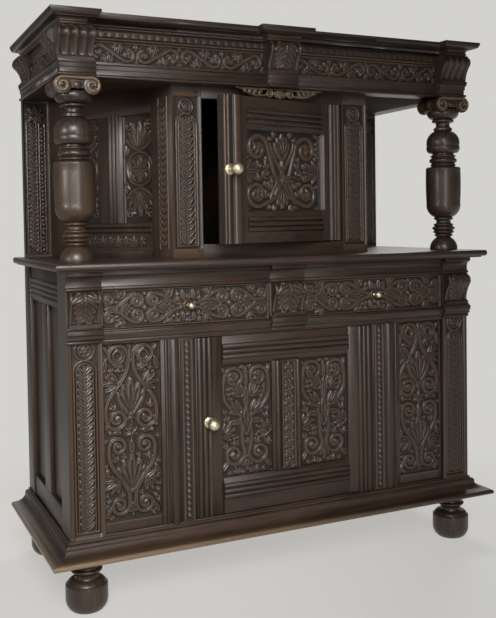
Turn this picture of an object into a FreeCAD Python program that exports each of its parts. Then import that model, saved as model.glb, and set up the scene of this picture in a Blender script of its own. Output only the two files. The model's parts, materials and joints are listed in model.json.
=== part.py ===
"""Press cupboard: a joined oak case in two stages under a canopy on turned posts.

Frame: +Z up, the front faces -Y, origin on the floor at the middle of the bounding box. Millimetres.
"""

import math
import os

from FreeCAD import Vector
import Part

# Heights, stacked from the floor up
FOOT_H = 150.0
PLINTH_H = 56.0
CASE_H = 754.0
TABLE_T = 24.0
UPPER_H = 518.0
ARCHITRAVE_H = 44.0
FRIEZE_H = 94.0
CORNICE_H = 40.0

# Case in plan
CASE_W = 1380.0
CASE_D = 576.0
PLINTH_OUT = 62.0
TABLE_FRONT = 64.0
TABLE_SIDE = 38.0
TABLE_NOSE = 14.0

# Lower case frame
POST_W = 102.0
POST_D = 96.0
REAR_POST_D = 80.0
RAIL_T = 40.0
RAIL_SET = 3.0
BOTTOM_RAIL_H = 60.0
DRAWER_RAIL_H = 40.0
TOP_RAIL_H = 55.0
DRAWER_OPENING_H = 113.0
DOOR_OPENING_W = 618.0
MUNTIN_W = 106.0
MUNTIN_MARGIN = 5.0
BAND_W = 40.0
BAND_RISE = 4.0
BAND_EDGE = 2.0
ROUND_W = 30.0
ROUND_RISE = 9.0
BEAD_W = 10.0
BEAD_RISE = 5.0
DIVIDER_W = 120.0
PANEL_T = 14.0
PANEL_SET = 11.0
GROOVE = 8.0
SIDE_SET = 4.0
SIDE_FRAME_T = 30.0
SIDE_TOP_RAIL_H = 110.0
SIDE_BOTTOM_RAIL_H = 120.0
SIDE_MUNTIN_W = 80.0
SIDE_REEDS = 4
BACK_RAIL_H = 80.0
BACK_BOARD_T = 12.0
BACK_BOARDS = 4
FLOOR_T = 16.0
FLOOR_SEAT = 5.0

# Joinery
TENON_L = 32.0
TENON_T = 12.0
TENON_BACK = 8.0
TENON_SHOULDER = 10.0
PEG_R = 4.0
PEG_L = 34.0
PEG_FIT = 0.02

# Feet
FOOT_R = 60.0
FOOT_Y = 30.0
FOOT_BACK = 62.0
FOOT_TENON_R = 16.0
FOOT_TENON_L = 45.0
FOOT_TENON_FIT = 0.05

# Doors
DOOR_T = 28.0
DOOR_SET = 2.0
DOOR_GAP = 2.5
STILE_W = 87.0
STILE_MARGIN = 4.0
REED_W = 16.0
REED_RISE = 7.0
REEDS = 3
BEVEL_W = 9.0
BEVEL_D = 6.0
DOOR_PANEL_SET = 12.0
DOOR_PANEL_T = 12.0
PIVOT_EDGE = 12.0
PIVOT_DEPTH = 6.0
PIN_R = 3.5
PIN_L = 22.0
PIN_END = 1.0
PIN_FIT = 0.02
PIN_RUN = 0.08
LOWER_TOP_RAIL_H = 88.0
LOWER_FOOT_RAIL_H = 108.0
LOWER_MUNTIN_W = 104.0
UPPER_DOOR_RAIL_H = 98.0
UPPER_AJAR_DEG = 15.0

# Knobs and latches
LOWER_KNOB_EDGE = 40.0
UPPER_KNOB_EDGE = 19.0
KNOB_R = 18.0
KNOB_OUT = 56.0
KNOB_NECK_R = 8.0
KNOB_WAIST_R = 6.5
ROSETTE_R = 17.0
ROSETTE_RIM = 4.0
ROSETTE_DOME_R = 12.8
ROSETTE_DOME_H = 7.2
ROSETTE_H = 8.0
ROSETTE_ROOM = 0.5
SPINDLE_R = 4.0
SPINDLE_RUN = 0.08
SEAT_GAP = 0.2
LATCH_L = 60.0
LATCH_W = 14.0
LATCH_T = 6.0
LATCH_GAP = 1.0
LOWER_KNOB_UP = 285.0
UPPER_KNOB_UP = 222.0
DRAWER_KNOB_R = 10.0
DRAWER_KNOB_OUT = 30.0
DRAWER_KNOB_BASE_R = 8.0
DRAWER_KNOB_NECK_R = 5.0
DRAWER_KNOB_NECK_UP = 5.5

# Drawers
DRAWER_GAP = 2.0
DRAWER_FRONT_T = 20.0
DRAWER_INSET = 5.0
DRAWER_SIDE_T = 16.0
DRAWER_SIDE_H = 90.0
DRAWER_LIFT = 4.0
DRAWER_L = 440.0
DRAWER_BACK_T = 12.0
DRAWER_FLOOR_T = 8.0
RUNNER_H = 14.0
RUNNER_UP = 40.0
RUNNER_IN = 9.0
RUNNER_RUN = 0.3
RUNNER_SEAT = 18.0
RUNNER_STOP = 8.0

# Drawer frieze trim
TRIM_OUT = 12.0
BLOCK_OUT = 10.0
TRIM_LIFT = 5.0
BLOCK_UP = 10.0
CONSOLE_OUT = 30.0
CONSOLE_MARGIN = 6.0

# Upper stage
UPPER_SET = 75.0
UPPER_OPENING_W = 492.0
PILASTER_W = 96.0
PILASTER_T = 36.0
UPPER_BASE_RAIL_H = 40.0
UPPER_HEAD_RAIL_H = 35.0
REAR_STILE_W = 86.0
REAR_STILE_T = 23.0
CANT_T = 32.0
CANT_FRONT_STILE_W = 84.0
CANT_REAR_STILE_W = 96.0
CANT_MUNTIN_W = 111.0
CANT_HEAD_RAIL_H = 75.0
CANT_BASE_RAIL_H = 108.0
CANT_SKIRT_H = 21.6
CANT_BASE_REEDS = 2
CANT_REED_RISE = 6.0
UPPER_BACK_T = 14.0

# Turned posts
POST_INSET = 49.0
POST_Y = 59.0
POST_R = 62.0
CAPITAL_H = 40.0
CAPITAL_W = 128.0
CAPITAL_D = 118.0
ABACUS_H = 5.0

# Canopy
ARCHITRAVE_SET = 28.0
ARCHITRAVE_BLOCK = 22.0
ARCHITRAVE_OUT = 6.0
BEAM_W = 60.0
REAR_BEAM_T = 50.0
FRIEZE_T = 28.0
FRIEZE_SET = 12.0
CORNICE_OUT = 44.0
CORNICE_BLOCK = 36.0
CORNER_BLOCK_W = 141.0
CENTRE_BLOCK_W = 180.0
ROOF_T = 16.0
ROOF_SEAT = 14.0
SOFFIT_T = 12.0
CANOPY_CONSOLE_W = 105.0
CANOPY_CONSOLE_OUT = 60.0
SIDE_CONSOLE_W = 100.0
SIDE_CONSOLE_OUT = 36.0
CONSOLE_SIDE_REACH = 20.0
DROP_W = 300.0
DROP_H = 34.0
DROP_T = 16.0

# Planes worked out from the sizes above
HALF = CASE_W / 2
UPPER_AJAR = math.radians(UPPER_AJAR_DEG)
KNOB_ARM = UPPER_OPENING_W - 2 * DOOR_GAP - PIVOT_EDGE - UPPER_KNOB_EDGE
KNOB_REACH = (KNOB_ARM * math.sin(UPPER_AJAR) + (PIVOT_DEPTH + KNOB_OUT - KNOB_R) * math.cos(UPPER_AJAR) + KNOB_R
              - UPPER_SET - DOOR_SET - PIVOT_DEPTH)
FRONT = (max(TABLE_FRONT, KNOB_REACH) - CASE_D) / 2
BACK = FRONT + CASE_D
Z_CASE = FOOT_H + PLINTH_H
Z_TABLE = Z_CASE + CASE_H
Z_DECK = Z_TABLE + TABLE_T
Z_CANOPY = Z_DECK + UPPER_H
Z_FRIEZE = Z_CANOPY + ARCHITRAVE_H
Z_CORNICE = Z_FRIEZE + FRIEZE_H
Z_TOP = Z_CORNICE + CORNICE_H
POST_IN = HALF - POST_W
POST_X = HALF - POST_INSET
RAIL_Y = FRONT + RAIL_SET
RAIL_BACK = RAIL_Y + RAIL_T
Z_SILL = FOOT_H + BOTTOM_RAIL_H
Z_TOP_RAIL = Z_TABLE - TOP_RAIL_H
Z_DRAWER = Z_TOP_RAIL - DRAWER_OPENING_H
Z_DOOR_HEAD = Z_DRAWER - DRAWER_RAIL_H
MUNTIN_IN = DOOR_OPENING_W / 2
MUNTIN_OUT = MUNTIN_IN + MUNTIN_W
BACK_RAIL_Y = BACK - BACK_BOARD_T - RAIL_T
UPPER_Y = FRONT + UPPER_SET
UPPER_IN = UPPER_OPENING_W / 2
UPPER_OUT = UPPER_IN + PILASTER_W
Z_UPPER_SILL = Z_DECK + UPPER_BASE_RAIL_H
Z_UPPER_HEAD = Z_CANOPY - UPPER_HEAD_RAIL_H
ARCHITRAVE_Y = FRONT + ARCHITRAVE_SET
FRIEZE_Y = ARCHITRAVE_Y + FRIEZE_SET
FRIEZE_HALF = HALF - FRIEZE_SET
BEAM_Y = ARCHITRAVE_Y + BEAM_W
BEAM_IN = HALF - BEAM_W

# Mouldings and turnings as (share of the projection or radius, share of the height) from the bottom up
PLINTH_SHAPE = [(0.95, 0), (1, 0.12, 0.85, 0.25), (0.8, 0.27), (0.43, 0.38, 0.26, 0.6), (0.26, 0.68),
                (0.23, 0.82, 0.08, 0.9), (0.08, 1)]
TABLE_SHAPE = [(0, 0), (0, 0.15), (0.7, 0.2), (1, 0.6, 0.7, 1)]
TRIM_SHAPE = [(0.35, 0), (0.52, 0.08, 0.35, 0.16), (0.2, 0.2), (0.2, 0.5), (0.45, 0.66, 1, 0.76), (1, 1)]
BASE_TRIM_SHAPE = [(0.3, 0), (0.46, 0.1, 0.35, 0.2), (0.5, 0.26), (0.75, 0.3), (0.75, 0.5), (1, 0.6),
                   (1, 0.85), (0.6, 0.95), (0.6, 1)]
CONSOLE_SHAPE = [(0.53, 0), (0.53, 0.1), (0.23, 0.14), (0.38, 0.38, 0.78, 0.62), (1, 0.82, 0.62, 0.95),
                 (0.33, 1)]
CANOPY_CONSOLE_SHAPE = [(0.67, 0), (0.67, 0.09), (0.55, 0.13), (0.65, 0.36, 0.88, 0.6), (1, 0.78, 0.84, 0.92),
                        (0.73, 1)]
ARCHITRAVE_SHAPE = [(0.3, 0), (1, 0.1, 0.3, 0.2), (0, 0.24), (0, 0.52), (0.4, 0.56), (0.4, 0.8), (1, 0.86),
                    (1, 1)]
CORNICE_SHAPE = [(0.2, 0), (0.28, 0.1, 0.2, 0.2), (0.24, 0.24), (0.3, 0.42, 0.55, 0.5), (0.6, 0.5), (0.6, 0.57),
                 (0.88, 0.6, 0.96, 0.78), (1, 0.78), (1, 1)]
FOOT_SHAPE = [(0.72, 0), (0.926, 0.097, 1, 0.22), (1, 0.465), (0.985, 0.495), (0.95, 0.507), (0.92, 0.515),
              (0.784, 0.579, 0.58, 0.6), (0.54, 0.645, 0.6, 0.7), (0.72, 0.735), (0.75, 0.76, 0.72, 0.785),
              (0.62, 0.8), (0.6, 0.825), (0.66, 0.88, 0.78, 0.92), (0.78, 1)]
POST_SHAPE = [(0.73, 0), (0.75, 0.01), (0.66, 0.055, 0.42, 0.088), (0.37, 0.094), (0.46, 0.099),
              (0.5, 0.106, 0.46, 0.113), (0.42, 0.117), (0.53, 0.122), (0.57, 0.129, 0.53, 0.136), (0.5, 0.14),
              (0.58, 0.147), (0.62, 0.156, 0.58, 0.165), (0.48, 0.171), (0.51, 0.175), (0.54, 0.181, 0.51, 0.187),
              (0.42, 0.192), (0.39, 0.203, 0.42, 0.214), (0.5, 0.219), (0.53, 0.225, 0.5, 0.231), (0.47, 0.235),
              (0.78, 0.265, 0.92, 0.335), (0.95, 0.45, 0.94, 0.572), (0.92, 0.588, 0.86, 0.593), (0.62, 0.597),
              (0.66, 0.602), (0.69, 0.608, 0.66, 0.614), (0.62, 0.618), (0.7, 0.627), (0.75, 0.64, 0.7, 0.653),
              (0.62, 0.662), (0.66, 0.666), (0.69, 0.672, 0.66, 0.678), (0.57, 0.683), (0.57, 0.69),
              (0.78, 0.696), (0.88, 0.712, 0.88, 0.745), (0.78, 0.818, 0.45, 0.853), (0.5, 0.857), (0.5, 0.872),
              (0.4, 0.88), (0.37, 0.894, 0.4, 0.908), (0.56, 0.914), (0.6, 0.922, 0.56, 0.93), (0.52, 0.934),
              (0.74, 0.946, 0.86, 0.972), (0.86, 0.985), (0.8, 1)]

# The drop under the canopy as (share of the half width, share of the height downwards)
DROP_SHAPE = [(-1, 0), (-1, 0.2), (-0.7, 0.75, -0.4, 0.6), (-0.22, 0.84, 0, 1), (0.22, 0.84, 0.4, 0.6),
              (0.7, 0.75, 1, 0.2), (1, 0)]

# Points closer than this are one point
SAME_POINT = 1e-6

nodes = {}


# Shapes

def box(x0, x1, y0, y1, z0, z1):
    return Part.makeBox(x1 - x0, y1 - y0, z1 - z0, Vector(x0, y0, z0))


def outline_face(steps, place):
    """A face inside steps: (u, v) draws a line there, (um, vm, u, v) an arc through (um, vm)."""
    here = steps[0]
    edges = []
    for step in steps[1:] + [steps[0]]:
        end = step[-2:]
        if math.dist(here, end) > SAME_POINT:
            if len(step) == 4:
                edges.append(Part.Arc(place(here), place(step[:2]), place(end)).toShape())
            else:
                edges.append(Part.makeLine(place(here), place(end)))
        here = end
    return Part.Face(Part.Wire(edges))


def along_x(steps, x0, x1):
    return outline_face(steps, lambda p: Vector(x0, p[0], p[1])).extrude(Vector(x1 - x0, 0, 0))


def along_y(steps, y0, y1):
    return outline_face(steps, lambda p: Vector(p[0], y0, p[1])).extrude(Vector(0, y1 - y0, 0))


def along_z(steps, z0, z1):
    return outline_face(steps, lambda p: Vector(p[0], p[1], z0)).extrude(Vector(0, 0, z1 - z0))


def turned(steps, x, y, z):
    """A turning on a vertical axis from (radius, height) steps."""
    half = outline_face(steps, lambda p: Vector(x + p[0], y, z + p[1]))
    return half.revolve(Vector(x, y, z), Vector(0, 0, 1), 360)


def turned_forward(steps, x, y, z):
    """A turning on an axis that points to the front, from (radius, distance forward) steps."""
    half = outline_face(steps, lambda p: Vector(x + p[0], y - p[1], z))
    return half.revolve(Vector(x, y, z), Vector(0, 1, 0), 360)


def moved(steps, change_u, change_v=lambda v: v):
    """The same steps with both coordinates changed."""
    out = []
    for step in steps:
        pairs = [(change_u(step[i]), change_v(step[i + 1])) for i in range(0, len(step), 2)]
        out.append(tuple(value for pair in pairs for value in pair))
    return out


def backwards(steps):
    """The same steps drawn from the last point to the first."""
    out = [steps[-1][-2:]]
    for before, step in zip(steps[-2::-1], steps[:0:-1]):
        out.append(step[:2] + before[-2:] if len(step) == 4 else before[-2:])
    return out


def reeds(start, count, width, base, rise):
    """Steps for a row of reeds from start along u, each an arc that rises from base to base + rise."""
    out = []
    for i in range(count):
        left = start + i * width
        out.append((left + width / 2, base + rise, left + width, base))
    return out


def moulded_slab(profile, x0, x1, y0, y1, left=True, right=True):
    """A slab whose front edge, and the ends asked for, carry a profile of (outward, height) steps."""
    low, high = profile[0][-1], profile[-1][-1]
    reach = max(max(step[0::2]) for step in profile)
    front = along_x([(y1, low)] + moved(profile, lambda u: y0 - u) + [(y1, high)], x0 - reach, x1 + reach)
    left_end = moved(profile, lambda u: x0 - u) if left else [(x0, low), (x0, high)]
    right_end = moved(profile, lambda u: x1 + u) if right else [(x1, low), (x1, high)]
    return front.common(along_y(left_end + backwards(right_end), y0 - reach, y1))


def mirrored(shape):
    return shape.mirror(Vector(0, 0, 0), Vector(1, 0, 0))


def both_sides(name, shapes):
    """Nodes for the right-hand shapes and their mirror images on the left."""
    nodes[name + "_right"] = shapes
    nodes[name + "_left"] = [mirrored(shape) for shape in shapes]


def joint(rail, post, end, thick, pegs=None):
    """Give a rail a tenon on its end, such as +x, and cut the mortise for it in the post."""
    room = rail.BoundBox
    low = [room.XMin, room.YMin, room.ZMin]
    high = [room.XMax, room.YMax, room.ZMax]
    axis = "xyz".index(end[1])
    across = "xyz".index(thick)
    side = 3 - axis - across
    if end[0] == "+":
        low[axis], high[axis] = high[axis], high[axis] + TENON_L
    else:
        low[axis], high[axis] = low[axis] - TENON_L, low[axis]
    if thick == "y":
        low[across] = high[across] - TENON_BACK - TENON_T
    else:
        low[across] += TENON_BACK
    high[across] = low[across] + TENON_T
    low[side] += TENON_SHOULDER
    high[side] -= TENON_SHOULDER
    tongue = box(low[0], high[0], low[1], high[1], low[2], high[2])
    rail = rail.fuse(tongue).removeSplitter()
    post = post.cut(tongue)
    if pegs is not None:
        face = post.BoundBox.YMin
        x = (low[0] + high[0]) / 2
        z = (low[2] + high[2]) / 2
        hole = Part.makeCylinder(PEG_R + PEG_FIT, PEG_L, Vector(x, face, z), Vector(0, 1, 0))
        rail = rail.cut(hole)
        post = post.cut(hole)
        pegs.append(Part.makeCylinder(PEG_R, PEG_L, Vector(x, face, z), Vector(0, 1, 0)))
    return rail, post


def profile(shape, out, low, height):
    """A shape of shares at its real projection and height."""
    return moved(shape, lambda u: u * out, lambda v: low + v * height)


def strip_along_x(shape, out, x0, x1, face_y, low, height):
    """A moulding strip planted on a face that looks to the front."""
    edge = moved(profile(shape, out, low, height), lambda u: face_y - u)
    return along_x([(face_y, low)] + edge + [(face_y, low + height)], x0, x1)


def strip_along_y(shape, out, y0, y1, face_x, low, height):
    """A moulding strip planted on a face that looks to the right."""
    edge = moved(profile(shape, out, low, height), lambda u: face_x + u)
    return along_y([(face_x, low)] + edge + [(face_x, low + height)], y0, y1)


def up(steps):
    """Reed steps turned from along the first coordinate to along the second."""
    return [(b, a, d, c) for a, b, c, d in steps]


def seat(panel, frames):
    """The frame pieces with the groove that holds a panel."""
    return [piece.cut(panel) for piece in frames]


# Stand

def make_feet(posts):
    """Four bun feet, with a round tenon into each post. Returns the bored posts."""
    bored = {}
    places = {"front_right": FRONT + FOOT_Y, "rear_right": BACK - FOOT_BACK}
    x = HALF - POST_W / 2
    for place, y in places.items():
        turning = [(0, 0)] + profile(FOOT_SHAPE, FOOT_R, 0, FOOT_H)
        top = FOOT_H + FOOT_TENON_L
        turning += [(FOOT_TENON_R, FOOT_H), (FOOT_TENON_R, top), (0, top)]
        foot = turned(turning, x, y, 0)
        hole = Part.makeCylinder(FOOT_TENON_R + FOOT_TENON_FIT, FOOT_TENON_L, Vector(x, y, FOOT_H))
        bored[place] = posts[place].cut(hole)
        nodes["foot_" + place] = [foot]
        nodes["foot_" + place.replace("right", "left")] = [mirrored(foot)]
    return bored


def make_plinth():
    """Plinth moulding in three lengths, mitred at the front corners."""
    edge = profile(PLINTH_SHAPE, PLINTH_OUT, FOOT_H, PLINTH_H)
    ring = moulded_slab(edge, -HALF, HALF, FRONT, BACK)
    ring = ring.cut(box(-HALF, HALF, FRONT, BACK, FOOT_H, Z_CASE))
    far = 2 * PLINTH_OUT
    mitre = [(-HALF, FRONT), (HALF, FRONT), (HALF + far, FRONT - far), (-HALF - far, FRONT - far)]
    wedge = along_z(mitre, FOOT_H, Z_CASE)
    sides = ring.cut(wedge)
    nodes["plinth_moulding"] = [ring.common(wedge)] + sides.Solids


# Lower case

def lower_muntin_steps(y):
    """Plan of a front muntin, right of the door: a raised band, a broad round and a bead."""
    band_in = MUNTIN_IN + MUNTIN_MARGIN
    band_out = band_in + BAND_W
    round_in = band_out + MUNTIN_MARGIN
    round_out = round_in + ROUND_W
    bead_in = round_out + MUNTIN_MARGIN
    bead_out = bead_in + BEAD_W
    back = y + RAIL_T
    return [(MUNTIN_IN, back), (MUNTIN_IN, y), (band_in - BAND_EDGE, y), (band_in, y - BAND_RISE),
            (band_out, y - BAND_RISE), (band_out + BAND_EDGE, y),
            (round_in, y), ((round_in + round_out) / 2, y - ROUND_RISE, round_out, y),
            (bead_in, y), ((bead_in + bead_out) / 2, y - BEAD_RISE, bead_out, y),
            (MUNTIN_OUT, y), (MUNTIN_OUT, back)]


def make_front(post, pegs):
    """Front rails, muntins and panels between the front posts. Returns both bored posts."""
    posts = [mirrored(post), post]
    bottom = box(-POST_IN, POST_IN, RAIL_Y, RAIL_BACK, FOOT_H, Z_SILL)
    drawer = box(-POST_IN, POST_IN, RAIL_Y, RAIL_BACK, Z_DOOR_HEAD, Z_DRAWER)
    top = box(-POST_IN, POST_IN, RAIL_Y, RAIL_BACK, Z_TOP_RAIL, Z_TABLE)
    rails = []
    for rail in (bottom, drawer, top):
        rail, posts[1] = joint(rail, posts[1], "+x", "y", pegs)
        rail, posts[0] = joint(rail, posts[0], "-x", "y", pegs)
        rails.append(rail)
    bottom, drawer, top = rails

    muntin = along_z(lower_muntin_steps(RAIL_Y), Z_SILL, Z_DOOR_HEAD)
    muntins = [muntin, mirrored(muntin)]
    for i in range(2):
        muntins[i], drawer = joint(muntins[i], drawer, "+z", "y")
        muntins[i], bottom = joint(muntins[i], bottom, "-z", "y")
    divider = box(-DIVIDER_W / 2, DIVIDER_W / 2, RAIL_Y, RAIL_BACK, Z_DRAWER, Z_TOP_RAIL)
    divider, top = joint(divider, top, "+z", "y")
    divider, drawer = joint(divider, drawer, "-z", "y")

    panel_y = RAIL_Y + PANEL_SET
    panel = box(MUNTIN_OUT - GROOVE, POST_IN + GROOVE, panel_y, panel_y + PANEL_T,
                Z_SILL - GROOVE, Z_DOOR_HEAD + GROOVE)
    panels = [panel, mirrored(panel)]
    for i in range(2):
        bottom, drawer, muntins[i] = seat(panels[i], [bottom, drawer, muntins[i]])
    posts = [posts[0].cut(panels[1]), posts[1].cut(panels[0])]
    both_sides("front_panel", [panel])
    nodes["front_muntins"] = muntins + [divider]
    return posts, [bottom, drawer, top]


def make_side(front_post, rear_post):
    """Side frame on the right with two panels, mirrored to the left. Returns the bored right posts."""
    outer = HALF - SIDE_SET
    inner = outer - SIDE_FRAME_T
    y0 = FRONT + POST_D
    y1 = BACK - REAR_POST_D
    reed_low = Z_TABLE - SIDE_TOP_RAIL_H + REED_W / 2
    top_steps = [(inner, Z_TABLE - SIDE_TOP_RAIL_H), (outer, Z_TABLE - SIDE_TOP_RAIL_H), (outer, reed_low)]
    top_steps += up(reeds(reed_low, SIDE_REEDS, REED_W, outer, SIDE_SET)) + [(outer, Z_TABLE), (inner, Z_TABLE)]
    top = along_y(top_steps, y0, y1)
    bottom = box(inner, outer, y0, y1, FOOT_H, FOOT_H + SIDE_BOTTOM_RAIL_H)
    middle = (y0 + y1) / 2
    z0 = FOOT_H + SIDE_BOTTOM_RAIL_H
    z1 = Z_TABLE - SIDE_TOP_RAIL_H
    muntin = box(inner, outer, middle - SIDE_MUNTIN_W / 2, middle + SIDE_MUNTIN_W / 2, z0, z1)
    rails = []
    for rail in (bottom, top):
        rail, front_post = joint(rail, front_post, "-y", "x")
        rail, rear_post = joint(rail, rear_post, "+y", "x")
        rails.append(rail)
    bottom, top = rails
    muntin, bottom = joint(muntin, bottom, "-z", "x")
    muntin, top = joint(muntin, top, "+z", "x")
    panel_x = outer - PANEL_SET
    spans = [(y0, middle - SIDE_MUNTIN_W / 2), (middle + SIDE_MUNTIN_W / 2, y1)]
    panels = []
    for start, end in spans:
        panel = box(panel_x - PANEL_T, panel_x, start - GROOVE, end + GROOVE, z0 - GROOVE, z1 + GROOVE)
        bottom, top, muntin, front_post, rear_post = seat(panel, [bottom, top, muntin, front_post, rear_post])
        panels.append(panel)
    frame = [bottom, top, muntin]
    nodes["side_frames"] = frame + [mirrored(piece) for piece in frame]
    nodes["side_panels"] = panels + [mirrored(panel) for panel in panels]
    return front_post, rear_post


def boards(count, x0, x1, y0, y1, z0, z1):
    """Upright boards side by side between x0 and x1."""
    width = (x1 - x0) / count
    return [box(x0 + i * width, x0 + (i + 1) * width, y0, y1, z0, z1) for i in range(count)]


def make_back(rear_post):
    """Back rails, centre stile and nailed boards. Returns both bored rear posts."""
    posts = [mirrored(rear_post), rear_post]
    y1 = BACK_RAIL_Y + RAIL_T
    bottom = box(-POST_IN, POST_IN, BACK_RAIL_Y, y1, FOOT_H, FOOT_H + BACK_RAIL_H)
    top = box(-POST_IN, POST_IN, BACK_RAIL_Y, y1, Z_TABLE - BACK_RAIL_H, Z_TABLE)
    rails = []
    for rail in (bottom, top):
        rail, posts[1] = joint(rail, posts[1], "+x", "y")
        rail, posts[0] = joint(rail, posts[0], "-x", "y")
        rails.append(rail)
    bottom, top = rails
    stile = box(-DIVIDER_W / 2, DIVIDER_W / 2, BACK_RAIL_Y, y1, FOOT_H + BACK_RAIL_H, Z_TABLE - BACK_RAIL_H)
    stile, bottom = joint(stile, bottom, "-z", "y")
    stile, top = joint(stile, top, "+z", "y")
    nodes["back_rails"] = [bottom, top, stile]
    nodes["lower_back_boards"] = boards(BACK_BOARDS, -POST_IN, POST_IN, y1, BACK, FOOT_H, Z_TABLE)
    return posts


def make_lower_case():
    """The framed case from the plinth to the table board."""
    front_post = box(POST_IN, HALF, FRONT, FRONT + POST_D, FOOT_H, Z_TABLE)
    rear_post = box(POST_IN, HALF, BACK - REAR_POST_D, BACK, FOOT_H, Z_TABLE)
    front_post, rear_post = make_side(front_post, rear_post)
    bored = make_feet({"front_right": front_post, "rear_right": rear_post})
    pegs = []
    front_posts, rails = make_front(bored["front_right"], pegs)
    rear_posts = make_back(bored["rear_right"])
    nodes["front_post_left"] = [front_posts[0]]
    nodes["front_post_right"] = [front_posts[1]]
    nodes["rear_posts"] = rear_posts
    nodes["front_rails"] = bore_rails(rails[:2], LOWER_DOOR) + rails[2:]
    nodes["tenon_pegs"] = pegs

    inner = HALF - SIDE_SET - SIDE_FRAME_T
    floor = box(-inner, inner, RAIL_BACK - FLOOR_SEAT, BACK_RAIL_Y + RAIL_T, Z_SILL, Z_SILL + FLOOR_T)
    clear = [box(-HALF, -POST_IN, FRONT, FRONT + POST_D, Z_SILL, Z_TABLE),
             box(POST_IN, HALF, FRONT, FRONT + POST_D, Z_SILL, Z_TABLE),
             box(-HALF, -POST_IN, BACK - REAR_POST_D, BACK, Z_SILL, Z_TABLE),
             box(POST_IN, HALF, BACK - REAR_POST_D, BACK, Z_SILL, Z_TABLE)]
    for piece in clear + nodes["front_muntins"] + nodes["back_rails"]:
        floor = floor.cut(piece)
    nodes["lower_floor"] = [floor]


def make_table():
    edge = profile(TABLE_SHAPE, TABLE_NOSE, Z_TABLE, TABLE_T)
    half = HALF + TABLE_SIDE - TABLE_NOSE
    nodes["table_board"] = [moulded_slab(edge, -half, half, FRONT - TABLE_FRONT + TABLE_NOSE, BACK)]


def make_frieze_trim():
    """Strips above and below the drawers, breaking forward at the posts and the centre, and the consoles."""
    half = DIVIDER_W / 2
    low = Z_DOOR_HEAD + TRIM_LIFT
    block_top = Z_DRAWER + BLOCK_UP
    top_strips = []
    base_strips = []
    consoles = []
    for x0, x1 in ((-POST_IN, -half), (half, POST_IN)):
        top_strips.append(strip_along_x(TRIM_SHAPE, TRIM_OUT, x0, x1, RAIL_Y, Z_TOP_RAIL, TOP_RAIL_H))
        base_strips.append(strip_along_x(BASE_TRIM_SHAPE, TRIM_OUT, x0, x1, RAIL_Y, low, Z_DRAWER - low))
    out = TRIM_OUT + BLOCK_OUT
    for x0, x1, y in ((-HALF, -POST_IN, FRONT), (-half, half, RAIL_Y), (POST_IN, HALF, FRONT)):
        top_strips.append(strip_along_x(TRIM_SHAPE, out, x0, x1, y, Z_TOP_RAIL, TOP_RAIL_H))
        base_strips.append(strip_along_x(BASE_TRIM_SHAPE, out, x0, x1, y, low, block_top - low))
        consoles.append(strip_along_x(CONSOLE_SHAPE, CONSOLE_OUT, x0 + CONSOLE_MARGIN, x1 - CONSOLE_MARGIN, y,
                                      block_top, Z_TOP_RAIL - block_top))
    nodes["frieze_top_moulding"] = top_strips
    nodes["frieze_base_moulding"] = base_strips
    nodes["drawer_consoles"] = consoles


# Doors

def door_sizes(half, z0, z1, y, jamb_back, head_h, foot_h, muntin_w, knob_edge, knob_up):
    """The sizes that a door and its opening share."""
    return {"half": half - DOOR_GAP, "sill": z0, "head": z1, "z0": z0 + DOOR_GAP, "z1": z1 - DOOR_GAP, "y": y,
            "jamb_back": jamb_back, "head_h": head_h, "foot_h": foot_h, "muntin_w": muntin_w,
            "pivot_x": half - DOOR_GAP - PIVOT_EDGE, "pivot_y": y + PIVOT_DEPTH,
            "knob_x": knob_edge - half + DOOR_GAP, "knob_z": z0 + knob_up}


LOWER_DOOR = door_sizes(MUNTIN_IN, Z_SILL, Z_DOOR_HEAD, RAIL_Y + DOOR_SET, RAIL_BACK,
                        LOWER_TOP_RAIL_H, LOWER_FOOT_RAIL_H, LOWER_MUNTIN_W, LOWER_KNOB_EDGE, LOWER_KNOB_UP)
UPPER_DOOR = door_sizes(UPPER_IN, Z_UPPER_SILL, Z_UPPER_HEAD, UPPER_Y + DOOR_SET, UPPER_Y + PILASTER_T,
                        UPPER_DOOR_RAIL_H, UPPER_DOOR_RAIL_H, 0, UPPER_KNOB_EDGE, UPPER_KNOB_UP)


def bore_rails(rails, door):
    """Sill and head rail with the holes that hold a door's pivot pins."""
    x, y = door["pivot_x"], door["pivot_y"]
    sill, head = rails
    sill = sill.cut(Part.makeCylinder(PIN_R + PIN_FIT, PIN_L, Vector(x, y, door["sill"] - PIN_L)))
    head = head.cut(Part.makeCylinder(PIN_R + PIN_FIT, PIN_L, Vector(x, y, door["head"])))
    return [sill, head]


def pivot_pins(door):
    """The two iron pins a door turns on, fixed in the rails."""
    x, y = door["pivot_x"], door["pivot_y"]
    length = PIN_L + DOOR_GAP + PIN_L - PIN_END
    low = Part.makeCylinder(PIN_R, length, Vector(x, y, door["sill"] - PIN_L))
    high = Part.makeCylinder(PIN_R, length, Vector(x, y, door["head"] + PIN_L - length))
    return [low, high]


def door_rail(x0, x1, y, z0, z1, panel_above):
    """A door rail with a bevel towards its panel and three reeds beside the bevel."""
    back = y + DOOR_T
    reed_low = z0 + BEVEL_W + REED_W / 2
    steps = [(back, z0), (y + BEVEL_D, z0), (y, z0 + BEVEL_W), (y, reed_low)]
    steps += up(reeds(reed_low, REEDS, REED_W, y, -REED_RISE)) + [(y, z1), (back, z1)]
    if panel_above:
        steps = moved(steps, lambda u: u, lambda v: z0 + z1 - v)
    return along_x(steps, x0, x1)


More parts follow.
